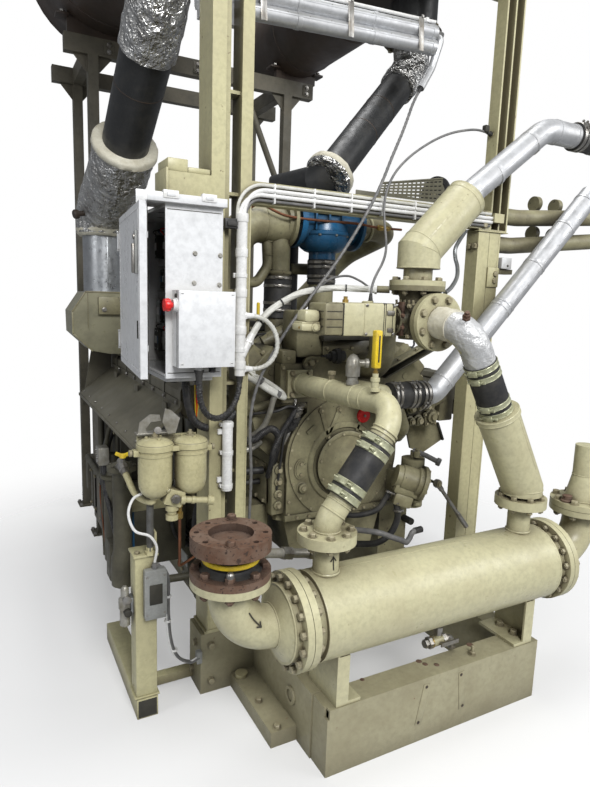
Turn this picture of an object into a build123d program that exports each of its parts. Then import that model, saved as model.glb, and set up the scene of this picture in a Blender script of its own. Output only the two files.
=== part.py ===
from build123d import *
import math
import os

# Gas engine generating set with heat recovery, in millimetres.
# X runs to the right along the front crossbeam, Y runs back along the crankshaft, Z is up.
# The origin is the middle of the underside of the front crossbeam, on the floor.

os.makedirs("parts", exist_ok=True)

# Skid
beam_length = 1000.0
beam_width = 100.0
beam_height = 250.0
beam_wall = 8.0
notch_width = 22.0
notch_height = 34.0
skid_half = 505.0
side_beam_width = 100.0
skid_rear = 3400.0
strip_width = 103.0
strip_height = 60.0
strip_front = 151.0
strip_length = 700.0

# Portal that carries the front of the silencers
portal_front = 540.0
portal_depth = 140.0
outrigger_height = 260.0
outrigger_reach = 233.0
portal_top = 2970.0
portal_beam = 99.0
post_inset = 26.0
left_post_width = 156.0
member_wide = 52.0
member_lip = 24.0
lip_recess = 20.0
member_narrow = 44.0
narrow_depth = 90.0
batten_first = 297.0
batten_pitch = 349.0
batten_thick = 12.0
clip_z = 630.0
clip_size = 40.0
right_lower_width = 138.0
right_upper_width = 108.0
right_depth = 75.0
upper_depth = 62.0
seam = 2.0
right_splice = 1930.0
post_wall = 10.0
plate_wall = 8.0
cross_top = 2020.0
cross_height = 80.0
cross_depth = 60.0

left_post_x = post_inset - skid_half - outrigger_reach
right_edge = skid_half + outrigger_reach + 10.0
right_lower_x = right_edge - 36.0 - right_lower_width
right_upper_x = right_edge - right_upper_width

# Rear platform and silencers
platform_y = 2400.0
platform_left = -952.0
platform_right = 692.0
platform_depth = 600.0
platform_post_left = -792.0
platform_post_right = 499.0
platform_post = 60.0
silencer_rest = portal_top + portal_beam
saddle_height = 30.0
left_silencer_r = 420.0
left_silencer_x = -680.0
left_silencer_end = 2790.0
right_silencer_r = 250.0
right_silencer_x = 560.0
right_silencer_end = 2760.0
silencer_front = 500.0
dish_depth = 70.0

# Engine
block_front = 760.0
head_count = 6
head_pitch = 250.0
head_length = 226.0
block_length = head_count * head_pitch
crank_z = 860.0
sump_joint = 620.0
sump_bottom = 400.0
deck_low = (436.0, 1074.0)
deck_high = (224.0, 1286.0)
head_width = 290.0
head_height = 150.0
cover_height = 60.0
gear_case_depth = 60.0
gear_case_r = 300.0
bell_length = 200.0
bell_r = 350.0
alternator_length = 850.0
alternator_r = 320.0
manifold_x = 690.0
manifold_z = 1170.0
manifold_size = 130.0
guard_reach = 952.0
guard_high = 1150.0
guard_low = 995.0
guard_thick = 5.0

# Heat exchanger along the front crossbeam
exchanger_y = 50.0
exchanger_z = 552.0
shell_r = 150.0
shell_half = 534.0
neck_r = 136.0
neck_length = 38.0
head_flange_r = 164.0
head_flange_thick = 24.0
gasket = 2.0
dish_r = 128.0
saddle_x = 462.0
saddle_plate = 8.0
saddle_front = -45.0
saddle_back = 145.0
saddle_foot = 12.0
saddle_rib = 40.0
tap_x = 50.0
tap_z = 310.0
tap_body = 40.0

# Pipe flanges: outside, bolt circle and hole
small_flange = (200.0, 160.0, 18.0)
valve_flange = (220.0, 180.0, 18.0)
large_flange = (250.0, 210.0, 18.0)
flange_bolt_count = 8
small_flange_thick = 18.0
valve_flange_thick = 20.0
large_flange_thick = 24.0
small_pipe = 89.0
valve_pipe = 114.0
large_pipe = 140.0

# Exchanger nozzles and elbows
left_nozzle_x = -472.0
right_nozzle_x = 437.0
nozzle_seam = 826.0
elbow_x = 815.0
elbow_flange_z = 731.0
bellows_length = 66.0

# Engine outlet pipe
outlet_start = (-250.0, 684.0, 1236.0)
outlet_corner = (-195.0, 50.0, 1246.0)
outlet_slope = (-0.6, 0.0, -0.8)
outlet_bend = 114.0
hose_start = 138.0
hose_end = 376.0
outlet_hose_d = 116.0

# Three-way valve
valve_x = 84.0
valve_y = 350.0
valve_z = 1527.0
valve_body_r = 74.0
valve_top = 1664.0
valve_face = 222.0
valve_port_z = 1305.0

# Downpipe from the valve to the right nozzle
down_corner = (90.0, 50.0, 1505.0)
down_slope = (0.488, 0.0, -0.8728)
down_bend = 105.0
down_wrap_d = 112.0
down_hose_start = 130.0
down_hose_end = 352.0
down_hose_d = 122.0
down_cylinder_d = 160.0
down_ring_d = 170.0

# Upper insulated pipe and the two bright pipes
insulated_d = 168.0
insulated_corner_z = 1800.0
insulated_top = (306.0, 350.0, 2022.0)
bright_bend = (722.0, 350.0, 2345.0)
bright_hose_x = 905.0
bright_end_x = 1075.0
bright_d = 100.0
bright_y = 450.0
bright_low_z = 1205.0
lower_hose_x = 140.0
lower_bright_x = 245.0
lower_bright_bend = 292.0
lower_bright_end = (1195.0, 450.0, 2140.0)
return_x = 30.0

# Exhaust
housing_front = 1900.0
housing_length = 290.0
left_riser_x = -805.0
left_riser_y = 2080.0
sleeve_r = 114.0
sleeve_low = 1601.0
sleeve_high = 1926.0
left_ring = (-803.0, 1500.0, 2290.0)
left_pipe_top = (-787.0, 940.0, 2723.0)
left_pipe_d = 219.0
foil_d = 280.0
right_ring = (5.0, 930.0, 2165.0)
right_pipe_top = (600.0, 1150.0, 2794.0)
right_pipe_d = 159.0
right_inlet_d = 240.0
right_inlet_low = 2930.0

# Clad pipes behind the portal
clad_d = 62.0
clad_left_z = 2712.0
clad_right_z = 2778.0
clad_end_x = 385.0

# Electrical cabinet, hinged at its far edge
cabinet_back = left_post_x
cabinet_depth = 200.0
cabinet_near = 420.0
cabinet_width = 570.0
cabinet_low = 1318.0
cabinet_height = 577.0
sheet = 3.0
door_thick = 24.0
door_gap = 5.0
door_open = 5.5
hinge_offset = 10.0
hinge_pin = 8.0
hinge_arm = 8.0
knuckle_height = 60.0
box_x = (-889.0, -692.0)
box_near = 345.0
box_z = (1362.0, 1616.0)
stop_y = 372.0
stop_z = 1567.0
stop_head_r = 20.0
stop_collar = 14.0
stop_stem = 18.0

# Conduit in front of the left post
conduit_x = -600.0
conduit_low = 1305.0
conduit_high = 1880.0
conduit_d = 40.0

# Filter stand
stand_x = -962.0
stand_tube = 80.0
stand_front = 500.0
stand_length = 600.0
stand_top = 650.0
bowl_r = 60.0
bowl_low = 886.0
bowl_high = 1092.0
bowl_y = 480.0
bowl_pitch = 128.0

running_gap = 0.3

# Hand pump beside the gear case
pump_x = 330.0
pump_y = 600.0
pin_x = 410.0
pin_z = 760.0
pump_pin = 14.0
pump_pin_length = 105.0
lever_hub = 40.0
lever_thick = 20.0
lever_reach = 320.0
lever_droop = 50.0

# Routes of the free cables, from the end that leaves the part first named
long_grey_route = [(318, 702, 2535), (276, 692, 2472), (232, 664, 2396), (176, 622, 2318), (116, 576, 2246),
                   (60, 540, 2170), (12, 516, 2086), (-34, 512, 1998), (-84, 516, 1908), (-146, 518, 1812),
                   (-216, 515, 1718), (-290, 514, 1628), (-360, 515, 1540), (-424, 516, 1452), (-476, 518, 1368),
                   (-516, 520, 1290), (-541, 522, 1212), (-551, 524, 1130), (-549, 526, 1046), (-541, 530, 965),
                   (-536, 536, 880), (-532, 550, 795), (-532, 556, 712), (-532, 556, 630)]
actuator_route = [(622, 570, 2362), (566, 560, 2364), (502, 542, 2356), (430, 526, 2338), (355, 518, 2316),
                  (282, 520, 2284), (208, 522, 2240), (138, 521, 2190), (74, 519, 2128), (30, 513, 2056),
                  (12, 504, 1978), (14, 492, 1900), (10, 468, 1832), (-14, 438, 1784), (-52, 404, 1744),
                  (-92, 378, 1708), (-122, 360, 1672), (-135, 352, 1634), (-135, 352, 1600)]
white_bundle_route = [(-562, 522, 1437), (-541, 527, 1474), (-509, 533, 1515), (-468, 537, 1553), (-416, 539, 1588),
                      (-354, 541, 1616), (-290, 539, 1634), (-222, 530, 1644), (-160, 510, 1647),
                      (-106, 474, 1646), (-58, 438, 1646)]
white_loop_route = [(-577, 520, 1530), (-546, 516, 1531), (-510, 506, 1520), (-480, 497, 1494), (-461, 494, 1458),
                    (-456, 491, 1420), (-465, 493, 1382), (-487, 499, 1350), (-517, 508, 1333), (-548, 516, 1329),
                    (-577, 520, 1330)]
box_loom_route = [(-808, 380, 1340), (-808, 380, 1290), (-801, 385, 1237), (-778, 400, 1193), (-741, 425, 1167),
                  (-698, 454, 1160), (-657, 482, 1172), (-625, 503, 1201), (-606, 516, 1237), (-600, 520, 1272),
                  (-600, 520, 1305)]

gear_face = block_front - gear_case_depth


def bar(x_span, y_span, z_span):
    """A rectangular bar given by its limits."""
    spans = (x_span, y_span, z_span)
    with Locations(tuple(sum(span) / 2 for span in spans)):
        Box(*[abs(span[1] - span[0]) for span in spans])


def rod(start, end, outside, inside=0.0):
    """A straight round bar or pipe between two points."""
    axis = Vector(*end) - Vector(*start)
    with BuildSketch(Plane(origin=start, z_dir=axis)) as section:
        Circle(outside / 2)
        if inside:
            Circle(inside / 2, mode=Mode.SUBTRACT)
    extrude(section.sketch, amount=axis.length)


def cone(start, end, first, last):
    """A round taper between two points."""
    axis = Vector(*end) - Vector(*start)
    with BuildSketch(Plane(origin=start, z_dir=axis)) as low:
        Circle(first / 2)
    with BuildSketch(Plane(origin=end, z_dir=axis)) as high:
        Circle(last / 2)
    loft(sections=[low.sketch, high.sketch])


def bent_pipe(points, radii, outside):
    """A round pipe of straight runs joined by bends."""
    with BuildLine() as path:
        FilletPolyline(*points, radius=radii)
    with BuildSketch(Plane(origin=path.line @ 0, z_dir=path.line % 0)) as section:
        Circle(outside / 2)
    sweep(sections=section.sketch, path=path.line)


def mitred_pipe(points, outside):
    """A round pipe whose straight runs meet in mitres."""
    with BuildLine() as path:
        Polyline(*points)
    with BuildSketch(Plane(origin=path.line @ 0, z_dir=path.line % 0)) as section:
        Circle(outside / 2)
    sweep(sections=section.sketch, path=path.line, transition=Transition.RIGHT)


def flange(centre, direction, size, thick, bore=0.0, drilled=False):
    """A flat pipe flange whose near face is at the centre point."""
    outside, circle, hole = size
    with BuildSketch(Plane(origin=centre, z_dir=direction)) as face:
        Circle(outside / 2)
        if bore:
            Circle(bore / 2, mode=Mode.SUBTRACT)
        if drilled:
            with PolarLocations(circle / 2, flange_bolt_count, start_angle=180 / flange_bolt_count):
                Circle(hole / 2, mode=Mode.SUBTRACT)
    extrude(face.sketch, amount=thick)


def along(start, direction, distance):
    """The point at a distance from another along a direction."""
    return tuple(s + d * distance for s, d in zip(start, direction))


def gland(end, following, length, outside):
    """A short sleeve in line with the first run of a cable."""
    way = (Vector(*end) - Vector(*following)).normalized()
    rod(end, tuple(Vector(*end) + way * length), outside)


def cable(points, diameter):
    """A free cable along a hand-set route, with arcs as large as its runs allow."""
    corners = [Vector(*point) for point in points]
    runs = [after - before for before, after in zip(corners, corners[1:])]
    turns = [math.radians(first.get_angle(second)) for first, second in zip(runs, runs[1:])]
    radii = [0.45 * min(first.length, second.length) / math.tan(turn / 2)
             for first, second, turn in zip(runs, runs[1:], turns)]
    with BuildLine() as path:
        FilletPolyline(*points, radius=radii)
    with BuildSketch(Plane(origin=path.line @ 0, z_dir=path.line % 0)) as section:
        Circle(diameter / 2)
    sweep(sections=section.sketch, path=path.line)
    length = sum(edge.length for edge in path.edges())
    print("cable", diameter, "length", round(length), "radii", [round(radius) for radius in radii],
          "section times length", round(math.pi * diameter ** 2 / 4 * length))


# Skid
beam_inner = beam_width / 2
with BuildPart() as front_crossbeam:
    with BuildSketch(Plane.YZ.offset(-beam_length / 2 + beam_wall)) as tube_section:
        with Locations((0, beam_height / 2)):
            Rectangle(beam_width, beam_height)
            Rectangle(beam_width - 2 * beam_wall, beam_height - 2 * beam_wall, mode=Mode.SUBTRACT)
    extrude(amount=beam_length - 2 * beam_wall)
    for end in (-1, 1):
        with BuildSketch(Plane.YZ.offset(end * (beam_length - beam_wall) / 2)) as end_plate:
            with Locations((0, beam_height / 2)):
                Rectangle(beam_width, beam_height)
            if end < 0:
                with Locations((-beam_inner, beam_height)):
                    Rectangle(2 * notch_width, 2 * notch_height, mode=Mode.SUBTRACT)
        extrude(amount=beam_wall / 2, both=True)
front_crossbeam.part.label = "front_crossbeam"
export_step(front_crossbeam.part, "parts/front_crossbeam.step")

with BuildPart() as skid_frame:
    for side in (-1, 1):
        outer = side * skid_half
        inner = side * (skid_half - side_beam_width)
        bar((inner, outer), (beam_inner, skid_rear), (0, beam_height))
        bar((outer, outer + side * outrigger_reach), (portal_front, portal_front + portal_depth),
            (0, outrigger_height))
        bar((outer, outer + side * strip_width), (strip_front, portal_front), (0, strip_height))
    for cross_y in (portal_front + portal_depth / 2, block_front + block_length, skid_rear - beam_inner):
        bar((-skid_half + side_beam_width, skid_half - side_beam_width),
            (cross_y - beam_inner, cross_y + beam_inner), (0, beam_height - 2 * beam_wall))
skid_frame.part.label = "skid_frame"
export_step(skid_frame.part, "parts/skid_frame.step")

# Portal posts
with BuildPart() as left_post:
    post_back = portal_front + portal_depth
    foot_z = outrigger_height + post_wall
    bar((left_post_x - post_wall, left_post_x + left_post_width + post_wall),
        (portal_front, post_back), (outrigger_height, foot_z))
    wide_end = left_post_x + member_wide
    right_x = left_post_x + left_post_width
    bar((left_post_x, left_post_x + post_wall), (portal_front, post_back), (foot_z, portal_top))
    for face_y in (portal_front, post_back - post_wall):
        bar((left_post_x, wide_end), (face_y, face_y + post_wall), (foot_z, portal_top))
    bar((wide_end - post_wall, wide_end + member_lip),
        (portal_front + lip_recess, portal_front + lip_recess + post_wall), (foot_z, portal_top))
    bar((wide_end - post_wall, wide_end), (portal_front, portal_front + lip_recess + post_wall), (foot_z, portal_top))
    bar((right_x - member_narrow, right_x), (portal_front, portal_front + post_wall), (foot_z, portal_top))
    bar((right_x - member_narrow, right_x - member_narrow + post_wall),
        (portal_front, portal_front + narrow_depth), (foot_z, portal_top))
    batten_count = int((portal_top - foot_z - batten_first - batten_thick) // batten_pitch) + 1
    for step in range(batten_count):
        low = foot_z + batten_first + step * batten_pitch
        bar((left_post_x + post_wall / 2, right_x - member_narrow + post_wall / 2),
            (portal_front + lip_recess, portal_front + narrow_depth), (low, low + batten_thick))
    bar((right_x - post_wall, right_x + clip_size), (portal_front + 1, portal_front + 1 + 0.75 * clip_size),
        (clip_z - clip_size, clip_z))
left_post.part.label = "left_post"
export_step(left_post.part, "parts/left_post.step")


with BuildPart() as right_post:
    lower_right = right_lower_x + right_lower_width
    half_width = (right_lower_width - seam) / 2
    bar((right_lower_x - post_wall, lower_right + post_wall), (portal_front, portal_front + right_depth),
        (outrigger_height, foot_z))
    for left_x in (right_lower_x, right_lower_x + half_width + seam):
        bar((left_x, left_x + half_width), (portal_front, portal_front + right_depth), (foot_z, right_splice))
    bar((right_lower_x, right_edge), (portal_front, portal_front + right_depth),
        (right_splice, right_splice + post_wall))
    for index in range(3):
        left_x = right_upper_x + index * (right_upper_width - plate_wall) / 2
        bar((left_x, left_x + plate_wall), (portal_front, portal_front + upper_depth),
            (right_splice + post_wall, portal_top))
    bar((right_upper_x, right_edge), (portal_front + upper_depth - plate_wall, portal_front + upper_depth),
        (right_splice + post_wall, portal_top))
    gland(actuator_route[0], actuator_route[1], 22, 20)
    bar((right_upper_x, right_upper_x + 60), (portal_front - 25, portal_front + 1), (1970, 2010))
right_post.part.label = "right_post"
export_step(right_post.part, "parts/right_post.step")

with BuildPart() as portal_beams:
    bar((left_post_x, right_edge), (portal_front, portal_front + portal_depth), (portal_top, silencer_rest))
    bar((left_post_x + left_post_width, right_upper_x),
        (portal_front, portal_front + cross_depth), (cross_top - cross_height, cross_top))
    bar((left_post_x - 2 * cross_height, left_post_x),
        (portal_front, portal_front + portal_depth), (cross_top - cross_height, cross_top))
portal_beams.part.label = "portal_beams"
export_step(portal_beams.part, "parts/portal_beams.step")

# Rear platform
platform_low = silencer_rest - portal_beam
with BuildPart() as platform_frame:
    for beam_y in (platform_y, platform_y + platform_depth):
        bar((platform_left, platform_right), (beam_y - platform_post / 2, beam_y + platform_post / 2),
            (platform_low, silencer_rest))
        for post_x in (platform_post_left, platform_post_right):
            foot = beam_height if abs(post_x) < skid_half else 0
            bar((post_x - platform_post / 2, post_x + platform_post / 2),
                (beam_y - platform_post / 2, beam_y + platform_post / 2), (foot, platform_low))
    for post_x in (platform_post_left, platform_post_right):
        bar((post_x - platform_post / 2, post_x + platform_post / 2),
            (platform_y, platform_y + platform_depth), (platform_low, silencer_rest))
    for post_x, lean in ((platform_post_left, 1), (platform_post_right, -1)):
        rod((post_x, platform_y, platform_low - 700), (post_x + lean * 330, platform_y, platform_low + 20),
            platform_post * 0.7)
platform_frame.part.label = "platform_frame"
export_step(platform_frame.part, "parts/platform_frame.step")


def drum(x, radius, back):
    """A lying silencer with dished ends and the saddles under it."""
    centre_z = silencer_rest + saddle_height + radius
    top_z = centre_z + radius
    front_y = silencer_front + dish_depth
    back_y = back - dish_depth
    with BuildSketch(Plane.YZ.offset(x)) as outline:
        with BuildLine():
            Polyline((front_y, top_z), (back_y, top_z), (back - dish_depth / 4, centre_z + 0.7 * radius),
                     (back, centre_z + 0.3 * radius), (back, centre_z), (silencer_front, centre_z),
                     (silencer_front, centre_z + 0.3 * radius),
                     (silencer_front + dish_depth / 4, centre_z + 0.7 * radius), close=True)
        make_face()
    revolve(outline.sketch, axis=Axis((x, 0, centre_z), (0, 1, 0)))
    for saddle_y in (portal_front + portal_depth / 2, platform_y):
        with BuildSketch(Plane.XZ.offset(-saddle_y)) as cradle:
            with Locations((x, silencer_rest + (saddle_height + radius / 2) / 2)):
                Rectangle(radius * 1.2, saddle_height + radius / 2)
            with Locations((x, centre_z)):
                Circle(radius, mode=Mode.SUBTRACT)
        extrude(cradle.sketch, amount=platform_post / 3, both=True)


with BuildPart() as silencers:
    drum(left_silencer_x, left_silencer_r, left_silencer_end)
    drum(right_silencer_x, right_silencer_r, right_silencer_end)
silencers.part.label = "silencers"
export_step(silencers.part, "parts/silencers.step")

# Engine block, sump and ends
block_back = block_front + block_length
deck_dx = deck_high[0] - deck_low[0]
deck_dz = deck_high[1] - deck_low[1]
deck_angle = math.degrees(math.atan2(-deck_dx, deck_dz))
with BuildPart() as crankcase:
    with BuildSketch(Plane.XZ.offset(-block_front)) as section:
        with BuildLine():
            half = [(0, 1150), (140, 1202), deck_high, deck_low, (400, 950), (345, 900), (330, sump_joint)]
            Polyline(*half, *[(-x, z) for x, z in reversed(half[1:])], close=True)
        make_face()
    extrude(amount=-block_length)
    for side in (-1, 1):
        for foot_y in (block_front + head_pitch / 2, block_back - head_pitch / 2):
            bar((side * 320, side * (skid_half - 10)), (foot_y - 60, foot_y + 60), (beam_height + 40, 660))
            bar((side * (skid_half - 80), side * (skid_half - 20)), (foot_y - 50, foot_y + 50),
                (beam_height, beam_height + 40))
crankcase.part.label = "crankcase"
export_step(crankcase.part, "parts/crankcase.step")

with BuildPart() as oil_sump:
    with BuildSketch(Plane.XZ.offset(-block_front)) as section:
        with BuildLine():
            half = [(310, sump_joint), (310, sump_joint - 20), (270, sump_joint - 30), (220, sump_bottom)]
            Polyline(*half, *[(-x, z) for x, z in reversed(half)], close=True)
        make_face()
    extrude(amount=-block_length)
oil_sump.part.label = "oil_sump"
export_step(oil_sump.part, "parts/oil_sump.step")

with BuildPart() as gear_cover:
    with BuildSketch(Plane.XZ.offset(-block_front)) as face:
        with Locations((0, crank_z + 20)):
            Circle(gear_case_r)
        with Locations((0, sump_joint + 140)):
            Rectangle(2 * 290, 280)
        with Locations((0, 1200)):
            Rectangle(400, 300)
        with Locations((-250, 1236)):
            Rectangle(170, 170)
    extrude(amount=gear_case_depth)
    rod((0, block_front - gear_case_depth, crank_z), (0, block_front - gear_case_depth - 25, crank_z), 270)
    rod((pump_x, pump_y, 640), (pump_x, pump_y, 870), 110)
    bar((250, pump_x), (pump_y, gear_face), (700, 800))
    rod((pump_x, pump_y, 870), (pump_x, pump_y, 905), 30)
    bar((pump_x, pin_x + 12), (pump_y - 15, pump_y + 15), (pin_z - 20, pin_z + 20))
    rod((pin_x, pump_y, pin_z), (pin_x, pump_y - pump_pin_length, pin_z), pump_pin)
gear_cover.part.label = "gear_cover"
export_step(gear_cover.part, "parts/gear_cover.step")

deck_mid = ((deck_low[0] + deck_high[0]) / 2, (deck_low[1] + deck_high[1]) / 2)


def bank(side):
    """One bank of cylinder heads with their rocker covers."""
    plane = Plane(origin=(side * deck_mid[0], 0, deck_mid[1]), x_dir=(0, 1, 0),
                  z_dir=(side * math.sin(math.radians(deck_angle)), 0, math.cos(math.radians(deck_angle))))
    for index in range(head_count):
        middle = block_front + (index + 0.5) * head_pitch
        with BuildSketch(plane) as base:
            with Locations((middle, 0)):
                Rectangle(head_length, head_width)
            chamfer(base.vertices(), 18)
        extrude(base.sketch, amount=head_height)
        with BuildSketch(plane.offset(head_height)) as cover:
            with Locations((middle, 0)):
                Rectangle(head_length - 40, head_width - 80)
            chamfer(cover.vertices(), 28)
        extrude(cover.sketch, amount=cover_height, taper=8)


with BuildPart() as cylinder_heads:
    bank(-1)
    bank(1)
cylinder_heads.part.label = "cylinder_heads"
export_step(cylinder_heads.part, "parts/cylinder_heads.step")

# Outer side face of a head, where its exhaust runner starts
lean = (math.sin(math.radians(deck_angle)), math.cos(math.radians(deck_angle)))
face_foot = (deck_mid[0] + lean[1] * head_width / 2, deck_mid[1] - lean[0] * head_width / 2)
face_tip = (face_foot[0] + lean[0] * head_height, face_foot[1] + lean[1] * head_height)
runner_foot = (face_foot[0] + 0.5 * (face_tip[0] - face_foot[0]), face_foot[1] + 0.5 * (face_tip[1] - face_foot[1]))


def manifold(side):
    """The lagged exhaust manifold boxes outside one bank, with their runners and the heat guard."""
    for index in range(head_count):
        middle = block_front + (index + 0.5) * head_pitch
        with BuildSketch(Plane.XZ.offset(-(middle - head_pitch / 2 + 4))) as section:
            with Locations((side * manifold_x, manifold_z)):
                Rectangle(manifold_size, manifold_size)
            chamfer(section.vertices(), 22)
        extrude(section.sketch, amount=-(head_pitch - 8))
        inner = manifold_x - manifold_size / 2 + 1
        with BuildSketch(Plane.XZ.offset(-(middle - 50))) as runner:
            with BuildLine():
                Polyline((side * runner_foot[0], runner_foot[1]), (side * face_tip[0], face_tip[1]),
                         (side * inner, manifold_z + 35), (side * inner, runner_foot[1]), close=True)
            make_face()
        extrude(runner.sketch, amount=-100)
    bar((side * (manifold_x - 35), side * (manifold_x + 35)), (block_front + 4, block_back - 4),
        (manifold_z - 35, manifold_z + 35))
    outer = manifold_x + manifold_size / 2
    with BuildSketch(Plane.XZ.offset(-(block_front - 20))) as section:
        with BuildLine():
            Polyline((side * outer, guard_high + 25), (side * (outer + guard_thick), guard_high + 25),
                     (side * (outer + guard_thick), guard_high), (side * guard_reach, guard_low),
                     (side * guard_reach, guard_low - guard_thick), (side * outer, guard_high - guard_thick),
                     close=True)
        make_face()
    extrude(section.sketch, amount=-(block_length - 100))


with BuildPart() as exhaust_manifolds:
    manifold(-1)
    manifold(1)
exhaust_manifolds.part.label = "exhaust_manifolds"
export_step(exhaust_manifolds.part, "parts/exhaust_manifolds.step")

alternator_front = block_back + bell_length
alternator_back = alternator_front + alternator_length
with BuildPart() as alternator:
    rod((0, block_back, crank_z), (0, block_back + 20, crank_z), 2 * bell_r)
    cone((0, block_back + 20, crank_z), (0, alternator_front, crank_z), 2 * bell_r, 2 * alternator_r)
    rod((0, alternator_front, crank_z), (0, alternator_back, crank_z), 2 * alternator_r)
    rod((0, alternator_back, crank_z), (0, alternator_back + 60, crank_z), 1.4 * alternator_r)
    for side in (-1, 1):
        bar((side * 180, side * 460), (alternator_front + 100, alternator_back - 100), (560, 600))
        bar((side * 420, side * 460), (alternator_front + 100, alternator_back - 100), (beam_height, 560))
    bar((-220, 220), (alternator_front + 200, alternator_back - 150), (crank_z + alternator_r - 30, 1330))
alternator.part.label = "alternator"
export_step(alternator.part, "parts/alternator.step")

# Intake in the valley of the V and the blue mixer above it
plenum_low = 1204.0
plenum_high = 1480.0
mixer_y = 1000.0
mixer_z = 1948.0
with BuildPart() as intake_plenum:
    with BuildSketch(Plane.XZ.offset(-(block_front + 60))) as section:
        with BuildLine():
            half = [(135, plenum_low), (135, 1300), (150, 1340), (150, 1450), (120, plenum_high)]
            Polyline(*half, *[(-x, z) for x, z in reversed(half)], close=True)
        make_face()
    extrude(amount=-(block_length - 120))
    rod((-215, mixer_y, 1400), (-215, mixer_y, 1640), 110)
    bar((-215, -140), (mixer_y - 55, mixer_y + 55), (1400, 1470))
    rod((20, mixer_y, plenum_high - 5), (20, mixer_y, 1740), 120)
    bent_pipe([(-150, mixer_y, mixer_z), (-215, mixer_y, mixer_z), (-215, mixer_y, 1640)], 60, 110)
    bent_pipe([(190, mixer_y, mixer_z), (420, mixer_y, mixer_z), (420, mixer_y + 430, mixer_z - 100),
               (120, mixer_y + 600, plenum_high - 5)], [100, 150], 110)
intake_plenum.part.label = "intake_plenum"
export_step(intake_plenum.part, "parts/intake_plenum.step")

with BuildPart() as mixer:
    rod((-130, mixer_y, mixer_z), (190, mixer_y, mixer_z), 170)
    rod((-150, mixer_y, mixer_z), (-130, mixer_y, mixer_z), 230)
    rod((20, mixer_y, 1740), (20, mixer_y, mixer_z - 60), 130)
mixer.part.label = "mixer"
export_step(mixer.part, "parts/mixer.step")

# Heat exchanger
shell_end = shell_half + neck_length
flange_seam = shell_end + head_flange_thick
with BuildPart() as exchanger_shell:
    rod((-shell_half, exchanger_y, exchanger_z), (shell_half, exchanger_y, exchanger_z), 2 * shell_r)
    rod((-shell_end, exchanger_y, exchanger_z), (shell_end, exchanger_y, exchanger_z), 2 * neck_r)
    for side in (-1, 1):
        rod((side * shell_end, exchanger_y, exchanger_z), (side * flange_seam, exchanger_y, exchanger_z),
            2 * head_flange_r)
    for nozzle_x in (left_nozzle_x, right_nozzle_x):
        rod((nozzle_x, exchanger_y, exchanger_z + shell_r - 30), (nozzle_x, exchanger_y, nozzle_seam), small_pipe)
        flange((nozzle_x, exchanger_y, nozzle_seam - small_flange_thick), (0, 0, 1), small_flange,
               small_flange_thick)
    for side in (-1, 1):
        inner = side * (saddle_x - saddle_plate / 2)
        outer = side * (saddle_x + saddle_plate / 2)
        with BuildSketch(Plane.YZ.offset(side * saddle_x)) as web:
            with BuildLine():
                Polyline((saddle_front, beam_height), (saddle_back, beam_height),
                         (saddle_back, exchanger_z - 40), (saddle_front, exchanger_z - 40), close=True)
            make_face()
            with Locations((exchanger_y, exchanger_z)):
                Circle(shell_r - 2, mode=Mode.SUBTRACT)
        extrude(web.sketch, amount=saddle_plate / 2, both=True)
        bar((inner, inner - side * 90), (saddle_front, saddle_back), (beam_height, beam_height + saddle_foot))
        bar((inner, inner - side * saddle_rib), (saddle_front, saddle_front + saddle_plate),
            (beam_height, exchanger_z - 120))
    rod((tap_x, exchanger_y, exchanger_z - shell_r + 10), (tap_x, exchanger_y, tap_z), 26)
    rod((tap_x - 40, exchanger_y, tap_z), (tap_x + 30, exchanger_y, tap_z), tap_body)
exchanger_shell.part.label = "exchanger_shell"
export_step(exchanger_shell.part, "parts/exchanger_shell.step")

head_face = flange_seam + gasket + head_flange_thick
elbow_radius = elbow_x - head_face - 50.0


def end_head(side, top_z, size, thick):
    """A dished end with its elbow and the flange on top of that."""
    rod((side * flange_seam, exchanger_y, exchanger_z), (side * (flange_seam + gasket), exchanger_y, exchanger_z),
        2 * neck_r)
    rod((side * (flange_seam + gasket), exchanger_y, exchanger_z), (side * head_face, exchanger_y, exchanger_z),
        2 * head_flange_r)
    rod((side * head_face, exchanger_y, exchanger_z), (side * (head_face + 22), exchanger_y, exchanger_z), 2 * dish_r)
    cone((side * (head_face + 22), exchanger_y, exchanger_z), (side * (head_face + 50), exchanger_y, exchanger_z),
         2 * dish_r, large_pipe + 10)
    bent_pipe([(side * (head_face + 48), exchanger_y, exchanger_z), (side * elbow_x, exchanger_y, exchanger_z),
               (side * elbow_x, exchanger_y, top_z)], elbow_radius, large_pipe)
    flange((side * elbow_x, exchanger_y, top_z), (0, 0, 1), size, thick)


with BuildPart() as inlet_elbow:
    end_head(-1, elbow_flange_z, large_flange, large_flange_thick)
inlet_elbow.part.label = "inlet_elbow"
export_step(inlet_elbow.part, "parts/inlet_elbow.step")

with BuildPart() as outlet_elbow:
    end_head(1, elbow_flange_z, large_flange, large_flange_thick)
    cone_low = elbow_flange_z + 2 * large_flange_thick + gasket
    rod((elbow_x, exchanger_y, elbow_flange_z + large_flange_thick),
        (elbow_x, exchanger_y, elbow_flange_z + large_flange_thick + gasket), large_pipe)
    flange((elbow_x, exchanger_y, elbow_flange_z + large_flange_thick + gasket), (0, 0, 1), large_flange,
           large_flange_thick)
    cone((elbow_x, exchanger_y, cone_low), (elbow_x, exchanger_y, cone_low + 110), large_pipe, 92)
    rod((elbow_x, exchanger_y, cone_low + 110), (elbow_x, exchanger_y, cone_low + 240), 92)
outlet_elbow.part.label = "outlet_elbow"
export_step(outlet_elbow.part, "parts/outlet_elbow.step")

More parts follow.
